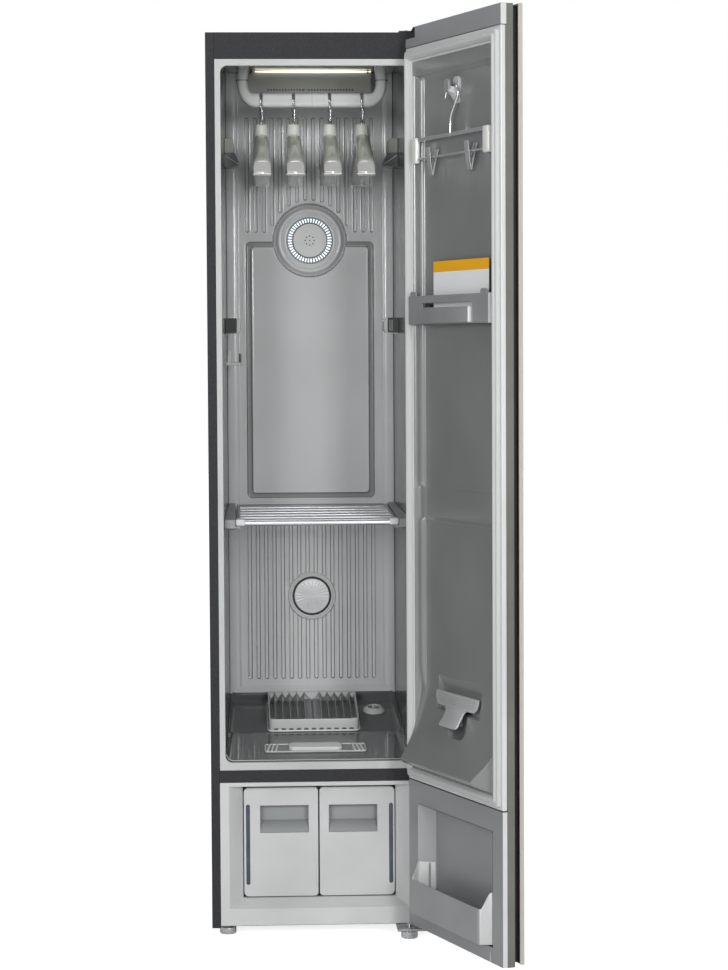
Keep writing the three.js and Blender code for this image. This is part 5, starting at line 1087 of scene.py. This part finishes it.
# Filter tray: a thin walled dish with round corners, two groups of fins, curved webs and end pockets
TRAY_MIDDLE = -3
FIN_PITCH = 16.3
tray = loft("filter_tray_dish", [
    [(a, b, z) for a, b in rounded(-100.5 + i, 94.5 - i, 6 + i, 191 - i, 10 - i * 0.6, 6)] for i, z in (
        (2.5, 0.3), (0.4, 1.2), (0, 3), (0, 25.6), (0.7, 27.3), (2.6, 27.3), (3.3, 26.2), (3.4, 3.2),
    )
], ON_REAR_SLOPE)
dress(tray, LIGHT, "filter_tray", "filter_tray", 50)
tray_flange = wire("filter_tray_flange", [
    (a, b, 1.9) for a, b in rounded(-102.3, 96.3, 4.2, 190, 11, 6)
], 1.6, ON_REAR_SLOPE, 8, True)
dress(tray_flange, WHITE, "filter_tray", crease=80)
tray_bed = block("filter_bed", (-96, 10, 3), (90, 187, 3.8), ON_REAR_SLOPE, 0.2)
dress(tray_bed, CHANNEL, "filter_tray")


# Outline of a web: flat on top, with sides that curve down to a point
def web_line(middle, wide, low):
    line = [(middle - wide, 27), (middle + wide, 27)]
    for step in range(1, 8):
        share = step / 8
        line.append((middle + wide * (1 - share), 27 - (27 - low) * share ** 0.7))
    return line + [(2 * middle - a, b) for a, b in line[:1:-1]]


for side, name in SIDES:
    for fin in range(5):
        x = TRAY_MIDDLE + side * (17.5 + FIN_PITCH * fin)
        number = fin + 1 + (5 if side > 0 else 0)
        blade = plate(f"filter_fin_{number}", [
            (x - 1.2, 2), (x - 0.9, 18), (x - 0.8, 24.4), (x + 0.8, 24.4), (x + 0.9, 18), (x + 1.2, 2),
        ], 9, 187.4, 1, ON_REAR_SLOPE)
        dress(blade, GREY, "filter_tray")
        x += side * 8.15
        half, low = (7.9, 13.6) if fin < 4 else (5.4, 16)
        web = plate(f"filter_web_{number}", web_line(x - side * (1.4 if fin == 4 else 0), half, low),
                    180 if fin < 4 else 172, 187.6, 1, ON_REAR_SLOPE, 0.3)
        dress(web, LIGHT, "filter_tray")
    x0, x1 = (TRAY_MIDDLE + x for x in mirrored(side, 84, 96))
    for end, y0, y1 in (("front", 9.4, 24), ("rear", 174, 187.8)):
        corner = block(f"filter_corner_{name}_{end}", (x0, y0, 3), (x1, y1, 25.4), ON_REAR_SLOPE)
        dress(corner, SAGE, "filter_tray")
    x0, x1 = (TRAY_MIDDLE + x for x in mirrored(side, 1.6, 16.6))
    bed = block(f"filter_centre_bed_{name}", (x0, 10, 3), (x1, 187, 9), ON_REAR_SLOPE, 0.3)
    dress(bed, GREY, "filter_tray")
centre_web = plate("filter_web_centre", web_line(TRAY_MIDDLE, 16.4, 10), 180, 187.6, 1, ON_REAR_SLOPE, 0.3)
dress(centre_web, LIGHT, "filter_tray")
# Ports in the tray's front wall, drawn as dark grey plates: painted shade inside the openings
for port in range(11):
    x = TRAY_MIDDLE + (port - 5) * FIN_PITCH
    slot_plate = plate(f"filter_port_{port + 1}", [
        (x - 5.4, 3.4), (x + 5.4, 3.4), (x + 3.8, 7.6), (x - 3.8, 7.6),
    ], 5.7, 6.6, 1, ON_REAR_SLOPE, 0.2)
    dress(slot_plate, DARK_GREY, "filter_tray")

# Round cap: a cone with a round hollow crossed by thin bars; the hollow's wall and floor are black as painted
# shade inside it
CAP_X, CAP_Y = 133, 130
cap_body = turned("round_cap_cone", [
    (0, 0.4), (25.2, 0.4), (25.1, 2), (23.8, 4), (21, 6.4), (17.8, 9), (16.4, 10.1), (14.4, 10.3),
    (13.6, 9.6), (13.4, 2.6), (0, 2.6),
], (CAP_X, CAP_Y, 0), 2, ON_REAR_SLOPE, 56, numbers=[0, 0, 0, 0, 0, 0, 0, 0, 1, 1])
dress(cap_body, [LIGHT, BLACK], "round_cap", "round_cap")
for index, x in enumerate((-9.6, -6.2, 0, 5.4, 9)):
    reach = math.sqrt(13.5 ** 2 - x ** 2)
    half = 1.1 if x == 0 else 0.5
    bar = block(
        f"round_cap_bar_{index + 1}",
        (CAP_X + x - half, CAP_Y - reach, 2.8), (CAP_X + x + half, CAP_Y + reach, 8.4), ON_REAR_SLOPE, 0.3,
    )
    dress(bar, LIGHT if x == 0 else GREY, "round_cap")

# Front plate: a grey plate with a light rim, three tubes at each end and a white handle
base = plate("front_plate_base", rounded(-111.5, 101.5, -200, -128, 8), 0.3, 2.6, 2, ON_FRONT_SLOPE, 0.5)
dress(base, GREY, "front_plate", "front_plate")
rim = wire("front_plate_rim", [
    (a, b, 2.7) for a, b in rounded(-109.9, 99.9, -198.4, -129.6, 7)
], 1.5, ON_FRONT_SLOPE, 8, True)
dress(rim, LIGHT, "front_plate")
for side, name in SIDES:
    for rib in range(3):
        bead = wire(f"front_plate_rib_{name}_{rib + 1}", curved([
            (-5 + side * (79 + 8.2 * rib), -133, 2.9), (-5 + side * (80 + 8.2 * rib), -150, 3.4),
            (-5 + side * (83 + 8.6 * rib), -195, 2.9),
        ], 5), 2.1, ON_FRONT_SLOPE, 10)
        dress(bead, WHITE, "front_plate", crease=80)
handle = loft("front_plate_handle", [
    [(a, b, z) for a, b in rounded(-60.5 + i, 50.5 - i, -189 + i, -139 - i, 12 - i * 0.4, 6)]
    for i, z in ((0, 1.5), (0, 6.6), (0.8, 8.2), (2.4, 9.2), (5, 9.3))
], ON_FRONT_SLOPE)
dress(handle, [WHITE, LIGHT], "front_plate", crease=60)
second_finish(handle, lambda face: face.normal.y < -0.6)


# Tanks: satin fronts with a scooped grip, a black line round the front edge as painted shade of the gap, and
# a smoked level window
def tank(side, sign, outer, inner, grip_x, window_x):
    body = f"{side}_tank"
    softened(body, TANK, body, 1.0, 3)
    corner, grip_half = 11, 49.4
    line = [(inner, 58.6)]
    for centre_z, start in ((69.4, 270), (275.1, 180)):
        line += [
            (outer - sign * corner * (1 - abs(math.cos(a))), centre_z + corner * math.sin(a))
            for a in (math.radians(start - 90 * step / 8) for step in range(9))
        ]
    line.append((inner, 285.8))
    # Black wire round the tank's front edge: painted shade in the gap between tank and frame
    edge = wire(f"{body}_edge", [(a, -243.5, b) for a, b in line], 0.8, sides=8, closed=True)
    dress(edge, BLACK, body)
    scoop = plate(f"{body}_grip_scoop", [
        (-242.6, 192.2), (-240, 198), (-234, 206), (-226, 212), (-217.8, 214.4), (-217.8, 192.2),
    ], grip_x - grip_half, grip_x + grip_half, 0, radius=0.3)
    dress(scoop, GREY, body, crease=60)
    grip_back = block(
        f"{body}_grip_back", (grip_x - grip_half, -218.6, 213), (grip_x + grip_half, -217.7, 247.6),
        radius=0.2,
    )
    dress(grip_back, GREY, body)
    for end in (-1, 1):
        stud = turned(f"{body}_grip_stud_{'a' if end < 0 else 'b'}", [
            (radius, grip_x + end * reach) for radius, reach in ((0, 50), (1.3, 50), (1.3, 48.6), (0, 48.2))
        ], (0, -238, 214), 0, sides=12)
        dress(stud, FRAME_LIGHT, body)
    frame_line = rounded(window_x - 4.1, window_x + 4.1, 83.4, 250.6, 4)
    dress(plate(f"{body}_window_edge", frame_line, -243.9, -242, 1), BLACK, body)
    window_line = rounded(window_x - 3.3, window_x + 3.3, 84.2, 249.8, 3.2)
    window = plate(f"{body}_window", window_line, -244.3, -242.4, 1, radius=0.3)
    dress(window, WINDOW, body)


tank("left", -1, -156.5, -1.9, -72, -147.4)
tank("right", 1, 156.5, -0.1, 70, 148.5)

# Hinges
softened("top_hinge", BLACK, "cabinet", 0.7)
softened("bottom_hinge", ZINC, "cabinet", 0.5)
for index, (x, y) in enumerate(((186, -262), (208, -238), (182, -240))):
    head = turned(f"top_hinge_screw_{index + 1}", [
        (0, 1833.2), (3.6, 1833.2), (3.6, 1834.2), (2.8, 1835), (0.9, 1835), (0.8, 1834.2), (0, 1834.2),
    ], (x, y, 0), 2, sides=20)
    dress(head, ZINC, "cabinet")

# Door: directions of its free edge and of its inner face as it stands open
OUT = Vector((-math.cos(DOOR_TURN), -math.sin(DOOR_TURN), 0))
INNER = Vector((-math.sin(DOOR_TURN), math.cos(DOOR_TURN), 0))
softened(
    "door_glass", [GLASS, GLASS_EDGE], "door", 0.5,
    choose=lambda centre, normal: 0 if abs(normal.dot(INNER)) > 0.9 else 1,
)
softened("door_grip_frame", BLACK, "door", 1.0)
softened("door_frame", SIDE_STRIP, "door", 0.8)
softened("door_inner_frame", FRAME_LIGHT, "door", 2.2, 3)
softened(
    "door_liner_lower", [DOOR_PANEL, FRAME_LIGHT], "door", 1.0,
    choose=lambda centre, normal: 1 if normal.dot(OUT) > 0.9 and centre.y < -680 else 0,
)
top_bar = plate("door_top_bar", [
    (-424.8, 1792.6), (8.2, 1792.6), (8.2, 1810.8), (-36.2, 1810.8), (-36.2, 1832.2), (-424.8, 1832.2),
], 12, 24.2, 1, IN_DOOR, 1.0)
dress(top_bar, [DOOR_PANEL, FRAME_LIGHT], "door")
second_finish(top_bar, lambda face: face.normal.dot(OUT) > 0.9)

low, high = (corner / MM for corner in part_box("door_glass"))
glass_trim = block("door_glass_trim", (-431.6, -13.2, low.z + 0.4), (-428, -9.6, high.z - 0.4), IN_DOOR, 0.5)
dress(glass_trim, GLASS_EDGE, "door")

# Seal: two soft lips and a hollow bead, mitred at its corners
seal_profile = [
    (0.4, 24.2), (0.2, 28), (1.2, 30.6), (3.2, 31.8), (6, 32.4), (7, 32), (8.4, 33.8), (10.4, 35.3),
    (12.8, 35.3), (14.8, 34), (16.2, 32), (17.4, 30.6), (18.6, 29.4), (19.5, 27.2), (19.7, 24.2),
]
seal = loft("door_seal", [
    [(a, level, b) for a, b in rounded(-418.5 + i, 2 - i, 319.5 + i, 1786 - i, 6, 4)]
    for i, level in seal_profile
], IN_DOOR, closed=True)
dress(seal, SEAL, "door", "door_gasket", 50)

# Height and depth along the liner's swelling
SWELL = ([330, 340.8, 346, 352, 359, 375, 390.5, 406, 422, 446, 471, 495, 520, 1800],
         [24, 24, 38, 51, 56, 47, 37.6, 29.8, 24.2, 19.6, 15.6, 12.2, 10, 10])


# Depth of the swelling, blended over a few millimetres
def swelling(z):
    spread = np.where(z < 372, 1.2, 5.0)
    return sum(w * np.interp(z + k * spread, *SWELL) for k, w in (
        (-2, 0.1), (-1, 0.2), (0, 0.4), (1, 0.2), (2, 0.1),
    ))


# Pocket for the press clip, as a distance from its edge
def clip_pocket(x, z):
    return from_rounded(x, z, -252, -176, 424, 486, 20)


# Upper liner: a formed sheet with a bead along its sides, a swelling low down and a pocket for the press clip
def door_skin(x, z):
    hinge_side, free_side, below_top = -21.3 - x, x + 395.2, 1761.7 - z
    y = 10 + 13 * (1 - ease_in((below_top - 24) / 9)) + 1.1 * np.exp(-((below_top - 33) / 2.2) ** 2)
    band = ease_in((z - 845) / 9) * ease_in((916 - z) / 9)
    rise = ease_in((z - 470) / 90) * ease_in((1738 - z) / 14) * (1 - band)
    bead = np.clip(1 - ((hinge_side - 21) / 9.5) ** 2, 0, 1) ** 0.5
    edge = 10 + 13 * (1 - ease_in((hinge_side - 2) / 9)) * ease_in((hinge_side - 0.8) / 1.0)
    y = np.maximum(y, np.maximum(edge, 10 + 9.5 * bead * rise))
    y = np.maximum(y, np.interp(free_side, [0, 3, 12, 17], [23.4, 20, 12, 10]))
    line = np.exp(-((z - 843) / 2.6) ** 2) + np.exp(-((z - 918) / 2.6) ** 2)
    y = y + (2.6 * band + 0.7 * line) * (y < 22)
    bulge = swelling(z)
    facet = 22.5 + 0.72 * free_side
    bulge = np.where(z < 430, np.minimum(bulge, facet), bulge)
    ridge = 1.6 * np.exp(-((swelling(z) - facet) / 2.0) ** 2) * (z < 412) * ease_in((z - 349) / 8)
    y = np.maximum(y, bulge + ridge)
    across = np.abs(x - DOOR_MIDDLE)
    slot = np.clip((539 - z) / 26, 0, 1) * ease_in((z - 470) / 4) * ease_in((98.5 - across) / 1.2)
    y = y - 11 * slot * (z < 539)
    return x, y - 11 * ease_in(0.5 - clip_pocket(x, z) / 3), z


skin = sheet_piece(
    "door_liner_upper_moulded",
    lines_between(-395.2, -21.3, 3.4, [
        (-395, -376, 1.5), (-310, -302, 0.8), (-256, -170, 1.6), (-114, -105, 0.8), (-56, -21, 0.9),
    ]),
    lines_between(340.8, 1761.7, 6, [
        (340, 420, 1.1), (420, 546, 1.25), (834, 860, 1.3), (900, 926, 1.3), (1716, 1762, 1.2),
    ]),
    door_skin, IN_DOOR,
)
dress(skin, [LINER, FRAME_LIGHT, DARK_GREY], "door", "door_liner_upper", 50)
for face in skin.data.polygons:
    spot = IN_DOOR.inverted() @ face.center
    if spot.z < 428 and face.normal.dot(OUT) > 0.4 and spot.x < -330:
        face.material_index = 1
    # Faces inside the clip's pocket take the dark grey finish: painted shade in the pocket under the clip
    elif clip_pocket(spot.x, spot.z) < -0.5:
        face.material_index = 2

# Hook of the door: a rounded plate, a shelf for the wire and a lip in front
hook_place = IN_DOOR @ Matrix.Translation((DOOR_MIDDLE, 0, 0))
hook_plate = plate("door_hook_plate", rounded(-13, 13, 1684, 1717, 9, 6), 9, 15, 1, hook_place, 1.6, 3)
dress(hook_plate, LIGHT, "door")
hook_shelf = plate("door_hook_shelf", [
    (9, 1664), (14, 1670), (24, 1683), (33, 1686), (35, 1688), (33, 1697.6), (24, 1696.4), (14, 1697.4),
    (9, 1698),
], -10, 10, 0, hook_place, 1.2, 3)
dress(hook_shelf, LIGHT, "door")
hook_lip = plate("door_hook_lip", rounded(-11, 11, 1686, 1711, 8, 6), 30.6, 36, 1, hook_place, 1.6, 3)
dress(hook_lip, GREY, "door")

# Trouser hanger: a flat bar between tall white ends, a thin rod, and a bright wire hook
hang_wire = wire("trouser_hanger_hook", curved([
    (0, 27, 1603), (0, 27, 1622), (-3, 26.6, 1640), (-12, 24, 1658), (-21, 21.4, 1676), (-21, 21, 1690),
    (-13, 22.4, 1699.6), (0, 23.6, 1700.8), (12, 25, 1697), (17.5, 26.6, 1688), (20, 27.6, 1676),
], 8), 2.5, hook_place, 14)
dress(hang_wire, CHROME, "trouser_hanger", "trouser_hanger", 60)
bar_strip = block("trouser_hanger_bar", (-160, 25.4, 1600.6), (160, 28.6, 1608.2), hook_place, 0.8, 3)
dress(bar_strip, SILVER, "trouser_hanger")
rod = wire("trouser_hanger_rod", [(-166, 27, 1566), (166, 27, 1566)], 2.2, hook_place, 14)
dress(rod, SILVER, "trouser_hanger", crease=60)
for side, name in ((-1, "free"), (1, "hinge")):
    x0, x1 = mirrored(side, 151, 176)
    end_cap = loft(f"trouser_hanger_end_{name}", [
        [(a, b, z) for a, b in rounded(x0 + i, x1 - i, 21.6 + i * 0.7, 32.4 - i * 0.7, 4.4 - i * 0.5, 5)]
        for i, z in (
            (4, 1558), (1.6, 1558.6), (0.4, 1560.2), (0, 1563), (0, 1603), (0.4, 1606.4), (1.6, 1608.3),
            (4, 1609),
        )
    ], hook_place)
    dress(end_cap, SHELL_WHITE, "trouser_hanger", crease=60)

# Spring clips of the trouser hanger: two pressed blades that cross at a pin on the rod
for side, middle in (("left", 88), ("right", -88)):
    body = f"trouser_clip_{side}"
    place = hook_place @ Matrix.Translation((middle, 0, 0))
    front = plate(f"{body}_front", [
        (34.6, 1586), (35.8, 1586), (33.9, 1566), (31.6, 1545), (28.6, 1531), (27.4, 1530.4), (27.4, 1533),
        (30.2, 1546), (32.4, 1566),
    ], -9, 9, 0, place, 0.3)
    dress(front, SILVER, body, body)
    for rail, name in ((-1, "a"), (1, "b")):
        x0, x1 = mirrored(rail, 3.4, 8.4)
        back_rail = plate(f"{body}_rear_{name}", [
            (14.6, 1581), (15.8, 1582), (20, 1570), (24.6, 1552), (27.4, 1534), (27.4, 1530.4),
            (26.2, 1530.6), (22.6, 1550), (18, 1568),
        ], x0, x1, 0, place, 0.3)
        dress(back_rail, SILVER, body)
    for index, (y, z) in enumerate(((15.4, 1580.6), (26.4, 1540))):
        low, high = (-8.6, y - 1, z - 2.6), (8.6, y + 0.8, z + 1.6)
        cross = block(f"{body}_bridge_{index + 1}", low, high, place, 0.4)
        dress(cross, SILVER, body)
    coil = wire(f"{body}_coil", [
        (-6 + 12 * t / 60, 27 + 4.2 * math.cos(t * 0.72), 1559.6 + 4.2 * math.sin(t * 0.72))
        for t in range(61)
    ], 0.8, place, 8)
    dress(coil, ZINC, body, crease=80)
    pin = turned(f"{body}_pin", [
        (0, -9.6), (2.6, -9.6), (3, -9.2), (3, -8.6), (1.4, -8.6), (1.4, 8.6), (3, 8.6), (3, 9.2),
        (2.6, 9.6), (0, 9.6),
    ], (0, 27, 1559.6), 0, place, 18)
    dress(pin, ZINC, body)


# Accessory rack: a folded front with two round tabs and a box in its window
def rack_outline():
    line = [
        (-391.5, 1238.4), (-320, 1238.4), (-320, 1279), (-90, 1279), (-90, 1238.4), (-25, 1238.4),
        (-25, 1294),
    ]
    for x in (-47, -369.5):
        for a in np.linspace(0, math.pi, 11):
            run, rise = math.cos(a), math.sin(a)
            line.append((x + 14 * math.copysign(abs(run) ** 0.6, run), 1294 + 9 * abs(rise) ** 0.6))
    return line + [(-391.5, 1294)]


rack_front = plate("rack_front", rack_outline(), 32.2, 35.2, 1, IN_DOOR, 0.7, 3)
dress(rack_front, [GREY, FRAME_LIGHT], "door", "accessory_rack")
rack_floor = block("rack_floor", (-390, 12, 1237.2), (-26, 34.6, 1239.6), IN_DOOR, 0.4)
dress(rack_floor, GREY, "door")
# The free end takes the light frame finish while the hinge end stays grey: painted light on the free end
rack_end = plate("rack_end_free", [
    (-391.6, 34.8), (-391.9, 33), (-391.6, 24), (-376, 11), (-374, 11), (-389, 25), (-389, 34.8),
], 1237.4, 1294.4, 2, IN_DOOR, 0.5, 2)
dress(rack_end, FRAME_LIGHT, "door")
rack_end_hinge = plate("rack_end_hinge", [
    (-25, 34.8), (-25, 24), (-41, 11), (-43, 11), (-27.4, 25), (-27.4, 34.8),
], 1237.4, 1294.4, 2, IN_DOOR, 0.5, 2)
dress(rack_end_hinge, GREY, "door")
# Black sheet behind the rack's window: painted shade in the gap round the box
rack_shadow = block("rack_window_back", (-322, 15, 1239), (-88, 17, 1277), IN_DOOR, 0.4)
dress(rack_shadow, BLACK, "door")
rack_box = loft("rack_box", [
    [(a, b, z) for a, b in rounded(-313 + i, -90 - i, 18 + i, 41 - i, 2.4 - i * 0.4, 4)]
    for i, z in ((1, 1239), (0, 1240), (0, 1269), (1, 1270))
], IN_DOOR)
dress(rack_box, [GREY, FRAME_LIGHT], "door")
# Faces of the box that look out from the door take the light frame finish: painted light on its lit end
second_finish(rack_box, lambda face: face.normal.dot(OUT) > 0.8)
card = block("care_card", (-359, 17.4, 1247), (-109, 18.2, 1340), IN_DOOR, 0.2)
dress(card, CARD_WHITE, "door")
band = block("care_card_band", (-359, 17.3, 1340), (-109, 18.3, 1361), IN_DOOR, 0.2)
dress(band, CARD_AMBER, "door")


# Half width of the press clip at a distance below its upper edge: broad, then a waisted nose
def press_half(s):
    shoulder = 95 - 22 * (1 - math.sqrt(max(1 - (max(s - 6, 0) / 22) ** 2, 0)))
    neck = float(np.interp(s, [28, 32, 38, 46, 54, 60, 64, 66], [47, 41.5, 38, 37, 38.5, 40, 38.5, 33]))
    return shoulder if s < 27.8 else neck


# How far the clip stands off the liner, which its nose bends away from
def press_lift(s):
    return 0.4 + 15 * max((s - 22) / 44, 0) ** 1.6


# Press clip: a plate with four lines, two dots, a spring behind and the stud that it turns on
press_rings = []
for s in [
    0, 0.8, 3, 6, 10, 14, 18, 21, 24, 26, 27.2, 27.8, 28.4, 30, 33, 37, 42, 48, 54, 58, 61, 63.4, 65, 66,
]:
    half, lift = press_half(s), press_lift(s)
    press_rings.append([
        (a, lift + b, -s) for a, b in rounded(-half, half, 0, 4.4 if s > 0.4 else 3.6, 1.5, 3)
    ])
press = loft("press_clip_plate", press_rings, ON_PRESS_SLOPE)
dress(press, [PRESS, FRAME_LIGHT], "press_clip", "press_clip", 50)
second_finish(press, lambda face: face.normal.dot(INNER) < 0.55)
for groove in range(4):
    half = 84 - groove * 2.5
    line = wire(f"press_clip_line_{groove + 1}", [
        (-half, 4.9, -6.5 - groove * 4.6), (half, 4.9, -6.5 - groove * 4.6),
    ], 0.35, ON_PRESS_SLOPE, 6)
    dress(line, GREY, "press_clip")
for dot in range(2):
    dimple = turned(f"press_clip_dot_{dot + 1}", [(0, 4.4), (1.3, 4.4), (1.1, 5.2), (0, 5.4)],
                    (-70 + dot * 3, 0, -11 - dot * 7), 1, ON_PRESS_SLOPE, 12)
    dress(dimple, FRAME_LIGHT, "press_clip")
spring = wire("press_clip_spring", [
    (-24, 1.5 + 3.4 * math.sin(t * 0.75), -30 - 22 * t / 70 + 3.4 * math.cos(t * 0.75)) for t in range(71)
], 0.9, ON_PRESS_SLOPE, 8)
dress(spring, CHROME, "press_clip", crease=80)
stud = turned("press_clip_stud", [
    (0, -3), (4.4, -3), (4.8, -1), (4.2, 1.6), (0, 2.2),
], (-24, 0, -56), 1, ON_PRESS_SLOPE, 24)
dress(stud, ZINC, "door")

# Pocket of the lower panel, with round corners; its walls that face out from the door take a lighter finish
# as painted light
pocket = loft("door_pocket", [
    [(a, y, b) for a, b in rounded(-380.5 + i, -36 - i, 44.4, 267.6, r, 5)]
    for i, y, r in ((0.2, 24.05, 7), (0.6, 23.6, 7), (20, -1, 6), (23.6, -4.6, 5), (26, -5.4, 3))
], IN_DOOR, ends=False)
pocket_back = plate("door_pocket_back", rounded(-355, -61.5, 44.6, 267.4, 3), -5.8, -5.2, 1, IN_DOOR)
dress(pocket_back, DOOR_PANEL, "door")
reworked(pocket.data, lambda work: bmesh.ops.reverse_faces(work, faces=work.faces))
dress(pocket, [DOOR_PANEL, POCKET_WALL_PAINTED_LIGHT], "door", crease=40)
second_finish(pocket, lambda face: face.normal.dot(OUT) > 0.2)
light_slit = block("door_panel_slit", (-370.6, 23.6, 14.5), (-369, 24.7, 33), IN_DOOR, 0.4)
dress(light_slit, FRAME_LIGHT, "door")


# Outline of the door bin from above, open at the back and round at its front corners
def bin_line(inset):
    left, right, corner = -370.5 + inset, -46 - inset, 9
    line = [(left + 13.4, -5.0 + inset), (left - 7.4, 22), (left - 7.0, 25)]
    for centre, start in ((left + corner, 180), (right - corner, 270)):
        for step in range(7):
            a = math.radians(start + 90 * step / 6)
            line.append((centre + (corner + 0.4) * math.cos(a), 49 - inset - corner - corner * math.sin(a)))
    return line + [(right + 7.0, 25), (right + 7.4, 22), (right - 13.4, -5.0 + inset)]


# The same line with points at most one pitch apart
def refined(line, pitch):
    fine = [line[0]]
    for after in line[1:]:
        before = fine[-1]
        count = max(1, round(math.dist(before, after) / pitch))
        fine += [tuple(np.add(before, np.subtract(after, before) * k / count)) for k in range(1, count + 1)]
    return fine


# Height of the bin's wall, which sweeps up towards the door
def bin_top(y):
    return 118 + 32 * float(ease_in((46 - y) / 21))


# Direction from the bin's wall to its inside: sideways at its ends, slanted at its corners, back at its front
def bin_inward(x, y):
    if abs(x - DOOR_MIDDLE) <= 150:
        return 0.0, -1.0
    across = math.copysign(1.0, DOOR_MIDDLE - x)
    return (across * 0.8, -0.8) if y > 40 else (across, 0.0)


# Door bin: a thin tray whose ends sweep up, with a back and two ribs. The wall's faces that look out past the
# door's free edge take the lighter tank finish as painted light.
rings = []
for x, y in refined(bin_line(0), 2.5):
    top = bin_top(y)
    ahead, back = bin_inward(x, y)
    rings.append([(x + ahead * depth, y + back * depth, z) for depth, z in (
        (0.5, 49), (0, 50.5), (0, top - 0.8), (0.6, top), (1.6, top), (2.2, top - 0.8), (2.2, 51),
    )])
bin_wall = loft("door_bin_wall", rings, IN_DOOR)
dress(bin_wall, [BIN, TANK], "door_bin", "door_bin", 50)
# Outward faces in the lighter finish: painted light
second_finish(bin_wall, lambda face: face.normal.dot(OUT) > 0.7)
bin_floor = plate("door_bin_floor", bin_line(1.0), 49.2, 51.4, 2, IN_DOOR, 0.3)
dress(bin_floor, BIN, "door_bin")
bin_back = plate("door_bin_back", rounded(-357.5, -59, 50, 96, 3), -5.0, -3.2, 1, IN_DOOR, 0.4)
dress(bin_back, BIN, "door_bin")
for index, (x, y) in enumerate(((-50.6, 0), (-56.4, 6))):
    rib = block(f"door_bin_rib_{index + 1}", (x - 0.6, y, 52), (x + 0.6, y + 3, 148), IN_DOOR, 0.3)
    dress(rib, BIN, "door_bin")

# Every CAD node has the finish of its slot, also those that other pieces stand for
FINISHES = {
    "case_steel": CHARCOAL, "light_plastic": LIGHT, "liner_plastic": WALL, "door_plastic": LINER,
    "black_plastic": BLACK, "dark_glass": GLASS, "plain_steel": ZINC, "silver_paint": SILVER,
    "lamp_white": RING_BASE, "hanger_plastic": SHELL, "seal_rubber": SEAL, "machine_black": MACHINE,
    "machine_plastic": DARK_GREY, "fin_aluminium": FIN,
}
for name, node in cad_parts.items():
    for spot in node.material_slots:
        key = next((key for key in FINISHES if spot.material and key in spot.material.name), "light_plastic")
        spot.material = FINISHES[key]


# White paper of the studio, matt, with a very faint unevenness. It shines by itself so that it stays white.
def paper_floor():
    finish, tree, shader, place = blank("paper_floor", Roughness=0.9)
    shader.inputs["Specular IOR Level"].default_value = 0.1
    shader.inputs["Emission Color"].default_value = (1, 1, 1, 1)
    fleck = add(tree, "TexNoise", {"Vector": place, "Scale": cells(900), "Detail": 2.0})
    two_tone(tree, shader, fleck.outputs["Fac"], "#fbfbfb", "#ffffff")
    view = add(tree, "LightPath").outputs["Is Camera Ray"]
    glow = add(tree, "Math", {0: view, 1: 0.78}, operation="MULTIPLY")
    tree.links.new(glow.outputs["Value"], shader.inputs["Emission Strength"])
    return finish


# Floor just under the feet, three lamps, a white backdrop and the camera of the photo
bpy.ops.mesh.primitive_plane_add(size=40, location=(0, 0, -0.0202))
ground = bpy.context.object
ground.name = "studio_floor"
ground.data.materials.append(paper_floor())


# Soft box at a spot that faces a target, in metres and watts
def lamp_panel(name, spot, target, width, height, power):
    light = bpy.data.lights.new(name, "AREA")
    light.shape = "RECTANGLE"
    light.size, light.size_y = width, height
    light.energy = power
    holder = bpy.data.objects.new(name, light)
    holder.location = spot
    holder.rotation_euler = (Vector(target) - Vector(spot)).to_track_quat("-Z", "Y").to_euler()
    bpy.context.scene.collection.objects.link(holder)


lamp_panel("soft_box_left", (-1.9, -5.6, 2.0), (0, 0, 1.1), 1.1, 1.5, 122)
lamp_panel("soft_box_right", (1.7, -5.8, 2.0), (-0.05, 0, 1.1), 1.1, 1.5, 128)
lamp_panel("strip_above", (-0.05, -1.1, 2.9), (0, -0.2, 1.58), 0.6, 0.12, 2.6)

world = bpy.data.worlds.new("studio_world")
bpy.context.scene.world = world
world.use_nodes = True
sky = world.node_tree
backdrop = sky.nodes["Background"]
path = add(sky, "LightPath")
seen = add(sky, "Math", {
    0: path.outputs["Is Camera Ray"], 1: path.outputs["Is Transmission Ray"],
}, operation="MAXIMUM")
strength = add(sky, "MapRange", {"Value": seen.outputs["Value"], "To Min": 0.34, "To Max": 1.0})
sky.links.new(strength.outputs["Result"], backdrop.inputs["Strength"])
backdrop.inputs["Color"].default_value = (1, 1, 1, 1)

lens = bpy.data.cameras.new("photo_camera")
lens.sensor_width = 36
lens.lens = 96.503
camera = bpy.data.objects.new("photo_camera", lens)
bpy.context.scene.collection.objects.link(camera)
bpy.context.scene.camera = camera
camera.matrix_world = Matrix((
    (0.99884346, 0.00773269, -0.04745473, -0.157564),
    (-0.04779165, 0.05163104, -0.99752203, -5.577010),
    (-0.00526339, 0.99863629, 0.05194088, 1.187467),
    (0, 0, 0, 1),
))
bpy.context.scene.view_settings.view_transform = "Standard"

bpy.context.view_layer.update()
